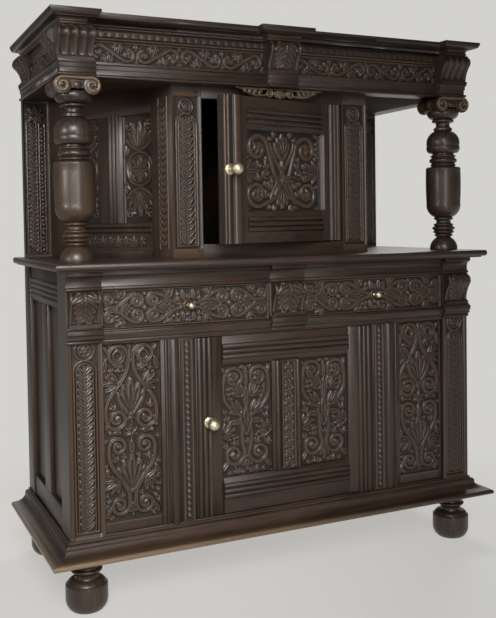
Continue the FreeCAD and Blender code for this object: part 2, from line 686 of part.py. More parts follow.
def door_muntin(half, y, z0, z1):
    """A door muntin with a bevel and a reed at each edge and a flat middle."""
    back = y + DOOR_T
    edge = -half + BEVEL_W
    steps = [(-half, back), (-half, y + BEVEL_D), (edge, y)] + reeds(edge, 1, REED_W, y, -REED_RISE)
    steps += [(-edge - REED_W, y)] + reeds(-edge - REED_W, 1, REED_W, y, -REED_RISE)
    steps += [(half, y + BEVEL_D), (half, back)]
    return along_z(steps, z0, z1)


def make_door(name, door, ajar):
    """A framed door closed in its opening, then turned about its pivot by the angle it stands open."""
    half, y, z0, z1 = door["half"], door["y"], door["z0"], door["z1"]
    back = y + DOOR_T
    inner = half - STILE_W
    foot_top = z0 + door["foot_h"]
    head_low = z1 - door["head_h"]
    steps = [(-half, back), (-half, y), (STILE_MARGIN - half, y)]
    steps += reeds(STILE_MARGIN - half, REEDS, REED_W, y, -REED_RISE)
    steps += [(-inner - BEVEL_W, y), (-inner, y + BEVEL_D), (-inner, back)]
    left = along_z(steps, z0, z1)
    right = mirrored(left)
    rails = []
    foot = door_rail(-inner, inner, y, z0, foot_top, True)
    head = door_rail(-inner, inner, y, head_low, z1, False)
    for rail in (foot, head):
        rail, left = joint(rail, left, "-x", "y")
        rail, right = joint(rail, right, "+x", "y")
        rails.append(rail)
    foot, head = rails
    spans = [(-inner, inner)]
    muntins = []
    if door["muntin_w"]:
        half_muntin = door["muntin_w"] / 2
        muntin = door_muntin(half_muntin, y, foot_top, head_low)
        muntin, foot = joint(muntin, foot, "-z", "y")
        muntin, head = joint(muntin, head, "+z", "y")
        muntins = [muntin]
        spans = [(-inner, -half_muntin), (half_muntin, inner)]
    panels = []
    for x0, x1 in spans:
        panel_y = y + DOOR_PANEL_SET
        panel = box(x0 - GROOVE, x1 + GROOVE, panel_y, panel_y + DOOR_PANEL_T,
                    foot_top - GROOVE, head_low + GROOVE)
        left, right, foot, head, *muntins = seat(panel, [left, right, foot, head] + muntins)
        panels.append(panel)

    x, y_pivot = door["pivot_x"], door["pivot_y"]
    for z in (z0, z1 - PIN_L):
        right = right.cut(Part.makeCylinder(PIN_R + PIN_RUN, PIN_L, Vector(x, y_pivot, z)))
    spot = Vector(door["knob_x"], y, door["knob_z"])
    forward = Vector(0, -1, 0)
    left = left.cut(Part.makeCylinder(ROSETTE_R + ROSETTE_ROOM, REED_RISE, spot, forward))
    left = left.cut(Part.makeCylinder(SPINDLE_R + SPINDLE_RUN, DOOR_T, spot, Vector(0, 1, 0)))

    pieces = {"stiles": [left, right], "rails": [foot, head] + muntins, "panels": panels,
              "knob": [door_knob(door)], "latch": [door_latch(door)]}
    for piece, shapes in pieces.items():
        for shape in shapes:
            shape.rotate(Vector(x, y_pivot, 0), Vector(0, 0, 1), ajar)
        nodes[name + "_" + piece] = shapes


def door_knob(door):
    """A turned knob with its rosette and a spindle through the stile."""
    depth = door["jamb_back"] + LATCH_GAP + LATCH_T - door["y"]
    ball = KNOB_OUT - KNOB_R
    ball_start = ball - math.sqrt(KNOB_R ** 2 - KNOB_NECK_R ** 2)
    steps = [(0, -depth), (SPINDLE_R, -depth), (SPINDLE_R, SEAT_GAP), (ROSETTE_R, SEAT_GAP),
             (ROSETTE_R, ROSETTE_RIM), (ROSETTE_DOME_R, ROSETTE_DOME_H, KNOB_NECK_R, ROSETTE_H),
             (KNOB_WAIST_R, (ROSETTE_H + ball_start) / 2, KNOB_NECK_R, ball_start),
             (KNOB_R, ball, 0, KNOB_OUT)]
    return turned_forward(steps, door["knob_x"], door["y"], door["knob_z"])


def door_latch(door):
    """A flat iron latch on the spindle, hanging down when the door is free to open."""
    x, z = door["knob_x"], door["knob_z"]
    y0 = door["jamb_back"] + LATCH_GAP
    half = LATCH_W / 2
    tongue = box(x - half, x + half, y0, y0 + LATCH_T, z - LATCH_L, z + half)
    boss_y = door["y"] + DOOR_T + SEAT_GAP
    boss = Part.makeCylinder(half, y0 - boss_y, Vector(x, boss_y, z), Vector(0, 1, 0))
    hole = Part.makeCylinder(SPINDLE_R + PIN_FIT, y0 + LATCH_T - boss_y, Vector(x, boss_y, z), Vector(0, 1, 0))
    return tongue.fuse(boss).removeSplitter().cut(hole)


# Drawers

def make_drawers():
    """The right drawer with its runners and knob, mirrored to the left."""
    y = RAIL_Y + DOOR_SET
    x0 = DIVIDER_W / 2 + DRAWER_GAP
    x1 = POST_IN - DRAWER_GAP
    z0 = Z_DRAWER + DRAWER_GAP
    front = box(x0, x1, y, y + DRAWER_FRONT_T, z0, Z_TOP_RAIL - DRAWER_GAP)
    box_y = y + DRAWER_FRONT_T
    end_y = box_y + DRAWER_L
    side_z = z0 + DRAWER_LIFT
    in0 = x0 + DRAWER_INSET
    in1 = x1 - DRAWER_INSET
    inner_side = box(in0, in0 + DRAWER_SIDE_T, box_y, end_y, side_z, side_z + DRAWER_SIDE_H)
    outer_side = box(in1 - DRAWER_SIDE_T, in1, box_y, end_y, side_z, side_z + DRAWER_SIDE_H)
    groove_z = Z_DRAWER + RUNNER_UP
    groove_y = box_y + RUNNER_STOP
    inner_side = inner_side.cut(box(in0, in0 + RUNNER_IN, groove_y, end_y, groove_z, groove_z + RUNNER_H))
    outer_side = outer_side.cut(box(in1 - RUNNER_IN, in1, groove_y, end_y, groove_z, groove_z + RUNNER_H))
    room0 = in0 + DRAWER_SIDE_T
    room1 = in1 - DRAWER_SIDE_T
    floor_z = side_z + DRAWER_FLOOR_T
    floor = box(room0, room1, box_y, end_y, side_z, floor_z)
    back = box(room0, room1, end_y - DRAWER_BACK_T, end_y, floor_z, side_z + DRAWER_SIDE_H)
    both_sides("drawer_front", [front])
    both_sides("drawer_box", [inner_side, outer_side, floor, back])

    ball = DRAWER_KNOB_OUT - DRAWER_KNOB_R
    ball_start = ball - math.sqrt(DRAWER_KNOB_R ** 2 - DRAWER_KNOB_NECK_R ** 2)
    steps = [(0, 0), (DRAWER_KNOB_BASE_R, 0), (DRAWER_KNOB_NECK_R, DRAWER_KNOB_NECK_UP),
             (DRAWER_KNOB_NECK_R, ball_start), (DRAWER_KNOB_R, ball, 0, DRAWER_KNOB_OUT)]
    both_sides("drawer_knob", [turned_forward(steps, (x0 + x1) / 2, y, (Z_DRAWER + Z_TOP_RAIL) / 2)])

    z = (groove_z + RUNNER_RUN, groove_z + RUNNER_H - RUNNER_RUN)
    outer = box(in1 - RUNNER_IN + RUNNER_RUN, POST_IN + RUNNER_SEAT, FRONT + POST_D, BACK - REAR_POST_D, *z)
    inner = box(DIVIDER_W / 2 - RUNNER_SEAT, in0 + RUNNER_IN - RUNNER_RUN, RAIL_BACK, BACK_RAIL_Y, *z)
    runners = [outer, inner]
    nodes["drawer_runners"] = runners + [mirrored(runner) for runner in runners]


# Upper stage

def cant_line():
    """Start, end, angle and length of the canted side's outer face, on the right."""
    start = Vector(UPPER_OUT, UPPER_Y, 0)
    end = Vector(HALF - REAR_STILE_W, BACK - REAR_STILE_T, 0)
    run = end - start
    return start, end, math.degrees(math.atan2(run.y, run.x)), run.Length


def make_cant():
    """The canted frame and its two panels, laid out along its own length and then turned into place."""
    start, _, angle, length = cant_line()
    muntin_0 = (CANT_FRONT_STILE_W + length - CANT_REAR_STILE_W - CANT_MUNTIN_W) / 2
    muntin_1 = muntin_0 + CANT_MUNTIN_W
    rear_0 = length - CANT_REAR_STILE_W
    rail_top = Z_DECK + CANT_BASE_RAIL_H
    head_low = Z_CANOPY - CANT_HEAD_RAIL_H
    front = box(0, CANT_FRONT_STILE_W, 0, CANT_T, Z_DECK, Z_CANOPY)
    rear = box(rear_0, length, 0, CANT_T, Z_DECK, Z_CANOPY)
    skirt_top = Z_DECK + CANT_SKIRT_H
    reed_low = rail_top - CANT_BASE_REEDS * REED_W
    foot_steps = [(CANT_T, Z_DECK), (-CANT_REED_RISE, Z_DECK), (-CANT_REED_RISE, skirt_top),
                  (0, skirt_top + CANT_REED_RISE), (0, reed_low)]
    foot_steps += up(reeds(reed_low, CANT_BASE_REEDS, REED_W, 0, -CANT_REED_RISE)) + [(CANT_T, rail_top)]
    foot = along_x(foot_steps, CANT_FRONT_STILE_W, rear_0)
    head = box(CANT_FRONT_STILE_W, rear_0, 0, CANT_T, head_low, Z_CANOPY)
    reed_start = muntin_0 + BEVEL_W
    muntin_steps = [(muntin_0, CANT_T), (muntin_0, BEVEL_D), (reed_start, 0)]
    muntin_steps += reeds(reed_start, REEDS, REED_W, 0, -CANT_REED_RISE)
    muntin_steps += [(muntin_1 - BEVEL_W, 0), (muntin_1, BEVEL_D), (muntin_1, CANT_T)]
    muntin = along_z(muntin_steps, rail_top, head_low)
    rails = []
    for rail in (foot, head):
        rail, front = joint(rail, front, "-x", "y")
        rail, rear = joint(rail, rear, "+x", "y")
        rails.append(rail)
    foot, head = rails
    muntin, foot = joint(muntin, foot, "-z", "y")
    muntin, head = joint(muntin, head, "+z", "y")
    panels = []
    for s0, s1 in ((CANT_FRONT_STILE_W, muntin_0), (muntin_1, rear_0)):
        panel = box(s0 - GROOVE, s1 + GROOVE, PANEL_SET, PANEL_SET + PANEL_T,
                    rail_top - GROOVE, head_low + GROOVE)
        front, rear, foot, head, muntin = seat(panel, [front, rear, foot, head, muntin])
        panels.append(panel)
    for shape in [front, rear, foot, head, muntin] + panels:
        shape.rotate(Vector(0, 0, 0), Vector(0, 0, 1), angle)
        shape.translate(start)
    both_sides("cant_frame", [front, rear, foot, head, muntin])
    both_sides("cant_panels", panels)


def make_upper_front(pegs):
    """Pilaster stiles cut to meet the canted frames, and the rails above and below the door."""
    end, angle = cant_line()[1:3]
    slope = math.tan(math.radians(90 - angle))
    back = UPPER_Y + PILASTER_T
    pilaster = along_z([(UPPER_IN, UPPER_Y), (UPPER_OUT, UPPER_Y), (UPPER_OUT - PILASTER_T / slope, back),
                        (UPPER_IN, back)], Z_DECK, Z_CANOPY)
    pilasters = [mirrored(pilaster), pilaster]
    sill = box(-UPPER_IN, UPPER_IN, UPPER_Y, back, Z_DECK, Z_UPPER_SILL)
    head = box(-UPPER_IN, UPPER_IN, UPPER_Y, back, Z_UPPER_HEAD, Z_CANOPY)
    rails = []
    for rail in (sill, head):
        rail, pilasters[1] = joint(rail, pilasters[1], "+x", "y", pegs)
        rail, pilasters[0] = joint(rail, pilasters[0], "-x", "y", pegs)
        rails.append(rail)
    nodes["upper_front_rails"] = bore_rails(rails, UPPER_DOOR)
    nodes["pilaster_left"] = [pilasters[0]]
    nodes["pilaster_right"] = [pilasters[1]]

    stile_tip = end.x - REAR_STILE_T / slope
    stile = along_z([(end.x, end.y), (HALF, end.y), (HALF, BACK), (stile_tip, BACK)], Z_DECK, Z_CANOPY)
    nodes["upper_rear_stiles"] = [stile, mirrored(stile)]
    nodes["upper_back_boards"] = boards(BACK_BOARDS, -stile_tip, stile_tip, BACK - UPPER_BACK_T, BACK,
                                        Z_DECK, Z_CANOPY)


def make_turned_posts():
    """The turned posts and their scrolled capitals."""
    y = FRONT + POST_Y
    height = UPPER_H - CAPITAL_H
    steps = [(0, 0)] + profile(POST_SHAPE, POST_R, 0, height) + [(0, height)]
    both_sides("turned_post", [turned(steps, POST_X, y, Z_DECK)])
    roll = CAPITAL_H / 2
    roll_x = CAPITAL_W / 2 - roll
    low = Z_CANOPY - CAPITAL_H
    depth = CAPITAL_D / 2
    abacus = box(POST_X - CAPITAL_W / 2, POST_X + CAPITAL_W / 2, y - depth, y + depth,
                 Z_CANOPY - ABACUS_H, Z_CANOPY)
    capital = abacus.fuse(box(POST_X - roll_x, POST_X + roll_x, y - depth, y + depth, low, Z_CANOPY))
    for x in (POST_X - roll_x, POST_X + roll_x):
        scroll = Part.makeCylinder(roll, CAPITAL_D, Vector(x, y - depth, low + roll), Vector(0, 1, 0))
        capital = capital.fuse(scroll)
    both_sides("capital", [capital.removeSplitter()])


# Canopy

def make_architrave():
    """The beams on the posts, with forward blocks at the corners and the centre."""
    edge = profile(ARCHITRAVE_SHAPE, ARCHITRAVE_OUT, Z_CANOPY, ARCHITRAVE_H)
    block_y = ARCHITRAVE_Y - ARCHITRAVE_BLOCK
    centre = CANOPY_CONSOLE_W / 2
    corner = moulded_slab(edge, POST_IN, HALF, block_y, BEAM_Y, left=False)
    middle = moulded_slab(edge, -centre, centre, block_y, BEAM_Y, left=False, right=False)
    run = moulded_slab(edge, centre, POST_IN, ARCHITRAVE_Y, BEAM_Y, left=False, right=False)
    ring = moulded_slab(edge, -HALF, HALF, block_y, BACK)
    side = ring.common(box(BEAM_IN, HALF + ARCHITRAVE_OUT, BEAM_Y, BACK, Z_CANOPY, Z_FRIEZE))
    rear = box(-BEAM_IN, BEAM_IN, BACK - REAR_BEAM_T, BACK, Z_CANOPY, Z_FRIEZE)
    right = [corner, run, side]
    nodes["canopy_architrave"] = [middle, rear] + right + [mirrored(shape) for shape in right]


def make_canopy_boards():
    """Frieze boards, soffit and roof."""
    inner = FRIEZE_HALF - FRIEZE_T
    inner_y = FRIEZE_Y + FRIEZE_T
    front = box(-FRIEZE_HALF, FRIEZE_HALF, FRIEZE_Y, inner_y, Z_FRIEZE, Z_CORNICE)
    side = box(inner, FRIEZE_HALF, inner_y, BACK, Z_FRIEZE, Z_CORNICE)
    rear = box(-inner, inner, BACK - FRIEZE_T, BACK, Z_FRIEZE, Z_CORNICE)
    nodes["canopy_frieze"] = [front, side, mirrored(side), rear]
    soffit = box(-BEAM_IN, BEAM_IN, BEAM_Y, BACK - REAR_BEAM_T, Z_CANOPY, Z_CANOPY + SOFFIT_T)
    half = FRIEZE_HALF - ROOF_SEAT
    roof = box(-half, half, FRIEZE_Y + ROOF_SEAT, BACK, Z_CORNICE, Z_CORNICE + ROOF_T)
    nodes["canopy_boards"] = [soffit, roof]


def make_cornice():
    """Cornice lengths round the roof, with forward blocks at the corners and the centre."""
    edge = profile(CORNICE_SHAPE, CORNICE_OUT, Z_CORNICE, CORNICE_H)
    roof = FRIEZE_HALF - ROOF_SEAT
    roof_y = FRIEZE_Y + ROOF_SEAT
    block_y = FRIEZE_Y - CORNICE_BLOCK
    outer = FRIEZE_HALF + CORNICE_OUT
    corner_in = outer - CORNER_BLOCK_W
    middle_out = CENTRE_BLOCK_W / 2
    blocks = []
    for x0, x1, back_x1 in ((corner_in, outer, corner_in + CORNICE_OUT), (-middle_out, middle_out, middle_out)):
        block = moulded_slab(edge, x0 + CORNICE_OUT, x1 - CORNICE_OUT, block_y, roof_y)
        behind = moulded_slab(edge, x0, back_x1, FRIEZE_Y, roof_y, left=False, right=False)
        blocks.append(block.fuse(behind).removeSplitter())
    corner, middle = blocks
    run = moulded_slab(edge, middle_out, corner_in, FRIEZE_Y, roof_y, left=False, right=False)
    ring = moulded_slab(edge, -FRIEZE_HALF, FRIEZE_HALF, FRIEZE_Y, BACK)
    side = ring.common(box(roof, outer, roof_y, BACK, Z_CORNICE, Z_TOP))
    right = [corner, run, side]
    nodes["cornice"] = [middle] + right + [mirrored(shape) for shape in right]


def make_canopy_consoles():
    """Consoles on the frieze under the cornice blocks, and two on each side."""
    corner_out = FRIEZE_HALF + CONSOLE_SIDE_REACH
    centre = CANOPY_CONSOLE_W / 2
    fronts = []
    for x0, x1 in ((-corner_out, CANOPY_CONSOLE_W - corner_out), (-centre, centre),
                   (corner_out - CANOPY_CONSOLE_W, corner_out)):
        fronts.append(strip_along_x(CANOPY_CONSOLE_SHAPE, CANOPY_CONSOLE_OUT, x0, x1, FRIEZE_Y,
                                    Z_FRIEZE, FRIEZE_H))
    nodes["canopy_front_consoles"] = fronts
    sides = []
    for y0 in (FRIEZE_Y, BACK - SIDE_CONSOLE_W):
        sides.append(strip_along_y(CONSOLE_SHAPE, SIDE_CONSOLE_OUT, y0, y0 + SIDE_CONSOLE_W, FRIEZE_HALF,
                                   Z_FRIEZE, FRIEZE_H))
    nodes["canopy_side_consoles"] = sides + [mirrored(side) for side in sides]


def make_drop():
    """The carved drop under the middle of the architrave."""
    steps = moved(DROP_SHAPE, lambda u: u * DROP_W / 2, lambda v: Z_CANOPY - v * DROP_H)
    nodes["canopy_drop"] = [along_y(steps, ARCHITRAVE_Y, ARCHITRAVE_Y + DROP_T)]


def main():
    make_plinth()
    make_lower_case()
    make_table()
    make_frieze_trim()
    make_door("lower_door", LOWER_DOOR, 0)
    make_door("upper_door", UPPER_DOOR, UPPER_AJAR_DEG)
    nodes["pivot_pins"] = pivot_pins(LOWER_DOOR) + pivot_pins(UPPER_DOOR)
    make_drawers()
    make_cant()
    make_upper_front(nodes["tenon_pegs"])
    make_turned_posts()
    make_architrave()
    make_canopy_boards()
    make_cornice()
    make_canopy_consoles()
    make_drop()
    os.makedirs("parts", exist_ok=True)
    for name, shapes in nodes.items():
        shape = shapes[0] if len(shapes) == 1 else Part.makeCompound(shapes)
        shape.exportStep(os.path.join("parts", name + ".step"))
    solids = sum(len(shape.Solids) for shapes in nodes.values() for shape in shapes)
    print(len(nodes), "nodes,", solids, "solids")


main()
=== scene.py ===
"""Looks for the press cupboard: carved and waxed dark oak with brass knobs, on a pale floor.

The scene is in metres. Carving is laid out in millimetres on each board's own face.
"""

import json
import math

import bpy
import numpy as np
from mathutils import Matrix, Vector

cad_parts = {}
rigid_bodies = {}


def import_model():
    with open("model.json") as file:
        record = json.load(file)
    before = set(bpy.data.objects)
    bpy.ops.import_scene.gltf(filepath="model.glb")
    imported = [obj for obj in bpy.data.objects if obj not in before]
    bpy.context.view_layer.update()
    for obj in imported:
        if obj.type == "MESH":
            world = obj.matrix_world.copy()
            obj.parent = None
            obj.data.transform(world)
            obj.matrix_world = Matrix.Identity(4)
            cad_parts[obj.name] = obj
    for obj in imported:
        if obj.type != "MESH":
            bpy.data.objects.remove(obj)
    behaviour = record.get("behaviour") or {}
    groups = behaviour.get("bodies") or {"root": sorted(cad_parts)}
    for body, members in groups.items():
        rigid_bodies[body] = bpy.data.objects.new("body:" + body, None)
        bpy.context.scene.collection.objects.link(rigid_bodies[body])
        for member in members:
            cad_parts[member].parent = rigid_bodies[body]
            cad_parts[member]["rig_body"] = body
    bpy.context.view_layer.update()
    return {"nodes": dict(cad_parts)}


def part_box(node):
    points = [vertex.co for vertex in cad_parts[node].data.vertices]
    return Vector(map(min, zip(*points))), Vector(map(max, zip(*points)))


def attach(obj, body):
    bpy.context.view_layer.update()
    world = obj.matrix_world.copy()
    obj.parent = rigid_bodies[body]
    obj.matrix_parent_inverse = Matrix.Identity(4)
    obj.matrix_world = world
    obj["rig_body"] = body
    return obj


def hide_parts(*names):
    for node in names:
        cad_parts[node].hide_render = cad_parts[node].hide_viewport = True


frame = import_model()
nodes = frame["nodes"]

MM = 0.001


def room(node):
    """The lowest and highest corner of a solid, in millimetres."""
    return [np.array(corner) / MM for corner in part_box(node)]


# Places read off the solids, in millimetres
FRONT = room("front_post_right")[0][1]
POST_X = (room("front_post_right")[0][0] + room("front_post_right")[1][0]) / 2
RAIL_FACE = room("front_rails")[0][1]
DOOR_FACE = room("lower_door_stiles")[0][1]
PLINTH_TOP = room("plinth_moulding")[1][2]
DRAWER_LOW = room("drawer_front_right")[0][2]
PILASTER_IN, UPPER_FACE, DECK = room("pilaster_right")[0]
CANOPY = room("pilaster_right")[1][2]
FRIEZE_FACE = room("canopy_frieze")[0][1]
REAR_STILE_W = 86.0
REAR_STILE_TIP = 562.0      # the stile's back edge runs in behind the canted side
PILASTER_BACK = 30.3        # the pilaster's back is narrowed to this by the canted side
PIVOT_IN = 14.5             # from the pilaster's inner edge to the upper door's pivot
PIVOT_DEEP = 8.0            # and back from the pilaster's face
CANT_START = np.array((room("pilaster_right")[1][0], UPPER_FACE))
CANT_END = np.array((room("upper_rear_stiles")[1][0] - REAR_STILE_W, room("upper_rear_stiles")[0][1]))
CANT_LENGTH = float(np.linalg.norm(CANT_END - CANT_START))
CANT_ALONG = (CANT_END - CANT_START) / CANT_LENGTH
CANT_OUT = np.array((CANT_ALONG[1], -CANT_ALONG[0]))
UPPER_PIVOT = np.array((PILASTER_IN - PIVOT_IN, UPPER_FACE + PIVOT_DEEP))
AJAR = math.radians(15.0)   # how far the upper door stands open at rest


# Finishes

def linear(code):
    """An sRGB hex value such as 3a2a1e as linear colour."""
    parts = [int(code[i:i + 2], 16) / 255 for i in (0, 2, 4)]
    return [c / 12.92 if c <= 0.04045 else ((c + 0.055) / 1.055) ** 2.4 for c in parts] + [1.0]


def add(tree, kind, settings=(), inputs=()):
    """A shader node with its settings, and its inputs set to values or linked to other nodes."""
    node = tree.nodes.new(kind)
    for key, value in dict(settings).items():
        setattr(node, key, value)
    for key, value in dict(inputs).items():
        if isinstance(value, bpy.types.NodeSocket):
            tree.links.new(value, node.inputs[key])
        else:
            node.inputs[key].default_value = value
    return node


def new_material(name):
    """An empty material and its node tree."""
    material = bpy.data.materials.new(name)
    material.use_nodes = True
    material.node_tree.nodes.clear()
    return material, material.node_tree


def set_ramp(ramp, stops):
    """Colour stops as (place, hex value)."""
    elements = ramp.color_ramp.elements
    for place, code in stops[2:]:
        elements.new(place)
    for element, (place, code) in zip(elements, stops):
        element.position = place
        element.color = linear(code)


def oak(name, grain, shades, roughness, coat, vary=0.0):
    """Quartered oak, stained and waxed: streaks drawn out along the board, open pores that catch dirt,
    soil in the hollows of the carving, a rubbed gleam on what stands proud of the carving, and a painted
    highlight on the capitals' bands, the drop and the plinth's roll."""
    material, tree = new_material(name)
    place = add(tree, "ShaderNodeTexCoord").outputs["Object"]
    # Growth bands about 9 mm wide; pores are 0.3 mm in the real wood and drawn at 1.6 mm to show here; old
    # wax lies unevenly, in clouds about 130 mm across. Each is drawn out along the grain
    noises = []
    for width_mm, drawn_out, detail, rough, distortion in ((9, 22, 6.0, 0.62, 0.5), (1.6, 26, 3.0, 0.55, 0.0),
                                                           (130, 2, 3.0, 0.5, 0.0)):
        scale = [1 / (width_mm * MM)] * 3
        scale["xyz".index(grain)] /= drawn_out
        stretched = add(tree, "ShaderNodeMapping", inputs={"Vector": place, "Scale": scale}).outputs[0]
        noises.append(add(tree, "ShaderNodeTexNoise", inputs={
            "Vector": stretched, "Scale": 1.0, "Detail": detail, "Roughness": rough,
            "Distortion": distortion}).outputs[0])
    bands, pores, clouds = noises
    wear_and_highlight = add(tree, "ShaderNodeAttribute", {"attribute_name": "wear_and_highlight"}).outputs["Fac"]

    tone = add(tree, "ShaderNodeMath", {"operation": "MULTIPLY_ADD"},
               {0: clouds, 1: 0.55, 2: -0.275}).outputs[0]
    tone = add(tree, "ShaderNodeMath", {"operation": "ADD"}, {0: bands, 1: tone}).outputs[0]
    # No two boards of one frame are quite the same tone
    board = add(tree, "ShaderNodeNewGeometry").outputs["Random Per Island"]
    tone = add(tree, "ShaderNodeMath", {"operation": "MULTIPLY_ADD"}, {0: board, 1: vary, 2: tone}).outputs[0]
    ramp = add(tree, "ShaderNodeValToRGB", inputs={"Fac": tone})
    # Past its palest a band drops back to the middle tone, which gives the flecks of quartered oak
    set_ramp(ramp, [(0.3, shades[0]), (0.68, shades[2]), (0.68, shades[1])])
    dark_pores = add(tree, "ShaderNodeMapRange", inputs={
        0: pores, "From Min": 0.52, "From Max": 0.7, "To Min": 0.0, "To Max": 0.55}).outputs[0]
    # Pale above 0: rubbed wear on the carving, and painted highlights on the capitals' bands, the drop and
    # the plinth's roll
    rubbed_and_highlit = add(tree, "ShaderNodeMapRange", inputs={
        0: wear_and_highlight, "From Min": 0.05, "From Max": 0.8, "To Min": 0.0, "To Max": 0.6}).outputs[0]
    soiled = add(tree, "ShaderNodeMapRange", inputs={
        0: wear_and_highlight, "From Min": -0.05, "From Max": -0.8, "To Min": 0.0, "To Max": 0.85}).outputs[0]
    colour = ramp.outputs[0]
    for share, code in ((dark_pores, shades[0]), (rubbed_and_highlit, shades[3]), (soiled, "0f0b08")):
        colour = add(tree, "ShaderNodeMix", {"data_type": "RGBA"},
                     {0: share, 6: colour, 7: linear(code)}).outputs[2]
    gloss = add(tree, "ShaderNodeMapRange", inputs={
        0: wear_and_highlight, "From Min": -0.8, "From Max": 0.8, "To Min": roughness + 0.2,
        "To Max": roughness - 0.08}).outputs[0]
    gloss = add(tree, "ShaderNodeMath", {"operation": "SUBTRACT"}, {0: gloss, 1: 0.08}).outputs[0]
    gloss = add(tree, "ShaderNodeMath", {"operation": "MULTIPLY_ADD"},
                {0: bands, 1: 0.16, 2: gloss}).outputs[0]
    bump = add(tree, "ShaderNodeBump", inputs={"Strength": 0.35, "Distance": 0.0006, "Height": pores})
    shader = add(tree, "ShaderNodeBsdfPrincipled", inputs={
        "Base Color": colour, "Roughness": gloss, "Normal": bump.outputs[0], "Coat Weight": coat,
        "Coat Roughness": 0.28, "Specular IOR Level": 0.35 if coat else 0.12})
    add(tree, "ShaderNodeOutputMaterial", inputs={"Surface": shader.outputs[0]})
    return material


def metal(name, shades, roughness, patina_mm):
    """Old metal: bright where it is handled, with a dull skin in patches."""
    material, tree = new_material(name)
    place = add(tree, "ShaderNodeTexCoord").outputs["Object"]
    skin = add(tree, "ShaderNodeTexNoise", inputs={
        "Vector": place, "Scale": 1 / (patina_mm * MM), "Detail": 4.0, "Roughness": 0.6}).outputs[0]
    ramp = add(tree, "ShaderNodeValToRGB", inputs={"Fac": skin})
    set_ramp(ramp, [(0.35, shades[0]), (0.65, shades[1])])
    gloss = add(tree, "ShaderNodeMapRange", inputs={
        0: skin, "From Min": 0.35, "From Max": 0.65, "To Min": roughness + 0.18,
        "To Max": roughness}).outputs[0]
    bump = add(tree, "ShaderNodeBump", inputs={"Strength": 0.2, "Distance": 0.0003, "Height": skin})
    shader = add(tree, "ShaderNodeBsdfPrincipled", inputs={
        "Base Color": ramp.outputs[0], "Metallic": 1.0, "Roughness": gloss, "Normal": bump.outputs[0]})
    add(tree, "ShaderNodeOutputMaterial", inputs={"Surface": shader.outputs[0]})
    return material


# Shades of the wood: dark bands and pores, middle tone, pale bands, and the pale shade for rubbed wear and
# painted highlights
DARK = ("1a120d", "2c2018", "3a2b20", "4f3d2d")
# WAXED's last shade is used only for the painted highlights on the capitals' bands, the drop and the plinth's
# roll
WAXED = ("1a120c", "302218", "412f21", "8c765b")
SAWN = ("46361f", "59452d", "6b553a", "7c6547")
OAK_X = oak("waxed_oak_across", "x", DARK, 0.39, 0.25, 0.06)
OAK_Y = oak("waxed_oak_deep", "y", DARK, 0.39, 0.25, 0.06)
OAK_Z = oak("waxed_oak_upright", "z", DARK, 0.39, 0.25, 0.06)
UNWAXED_X = oak("unwaxed_oak_across", "x", DARK, 0.8, 0.0)
TURNED = oak("burnished_turned_oak", "z", WAXED, 0.43, 0.45)
# Used on the plinth and the drop, where its last shade is a painted highlight
HIGHLIT_OAK_X = oak("oak_across_painted_highlight", "x", WAXED, 0.39, 0.25)
PLAIN_X = oak("sawn_oak_across", "x", SAWN, 0.68, 0.0, 0.25)
PLAIN_Z = oak("sawn_oak_upright", "z", SAWN, 0.68, 0.0, 0.25)
BRASS = metal("handled_brass", ("c3b48e", "ece2c6"), 0.36, 14)
IRON = metal("forged_iron", ("1a1815", "3a3631"), 0.45, 6)


# Bench work

WELD = 2e-6             # metres within which points are merged
# Angles in degrees past which an edge stays sharp
CARVED_CREASE = 70
PIERCED_CREASE = 60
JOINED_CREASE = 45
PLAIN_CREASE = 40
TURNED_CREASE = 32
ARRIS_ANGLE = 42        # edges sharper than this are rubbed round
# Rounding of rubbed edges, in millimetres
ARRIS = 1.2
BOARD_ARRIS = 4
IRON_ARRIS = 0.6
RIBBON_HIGHLIGHT = 0.45      # how far a capital's band is lightened as a painted highlight


def bench(piece):
    """Only this piece selected and active."""
    deselect()
    piece.select_set(True)
    bpy.context.view_layer.objects.active = piece


def deselect():
    """Nothing selected, because an operator acts on all that is."""
    for other in bpy.context.selected_objects:
        other.select_set(False)


def edit(*steps):
    """Run edit-mode steps on the active piece."""
    bpy.ops.object.mode_set(mode="EDIT")
    for step in steps:
        step()
    bpy.ops.object.mode_set(mode="OBJECT")


def all_of_it():
    bpy.ops.mesh.select_all(action="SELECT")


def weld():
    bpy.ops.mesh.remove_doubles(threshold=WELD)


def face_outwards():
    bpy.ops.mesh.normals_make_consistent(inside=False)


def smoothed(crease):
    """Smooth shading on the selected piece, apart from its sharp edges."""
    bpy.ops.object.shade_smooth_by_angle(angle=math.radians(crease))


def metres(*lengths):
    """Lengths in millimetres as Blender takes them."""
    return [length * MM for length in lengths]


def points_of(piece):
    """A mesh's points as rows of x, y and z."""
    flat = np.empty(len(piece.data.vertices) * 3, np.float32)
    piece.data.vertices.foreach_get("co", flat)
    return flat.reshape(-1, 3)


def set_points(piece, points):
    """Move a mesh's points to places in millimetres."""
    piece.data.vertices.foreach_set("co", (points * MM).astype(np.float32).ravel())


def grid_board(name, u, v):
    """A new flat grid with a column for each u and a row for each v, and the column and row of each point."""
    deselect()
    bpy.ops.mesh.primitive_grid_add(x_subdivisions=len(u) - 1, y_subdivisions=len(v) - 1, size=2)
    board = bpy.context.object
    board.name = name
    flat = (points_of(board) + 1) / 2
    columns = np.rint(flat[:, 0] * (len(u) - 1)).astype(int)
    rows = np.rint(flat[:, 1] * (len(v) - 1)).astype(int)
    return board, columns, rows


def set_wear_and_highlight(piece, wear_and_highlight):
    """Set how far each point is made pale, for rubbed wear and for painted highlights, and below 0 how far it
    is soiled.
    """
    worn = piece.data.attributes.new("wear_and_highlight", "FLOAT", "POINT")
    worn.data.foreach_set("value", np.asarray(wear_and_highlight, np.float32))


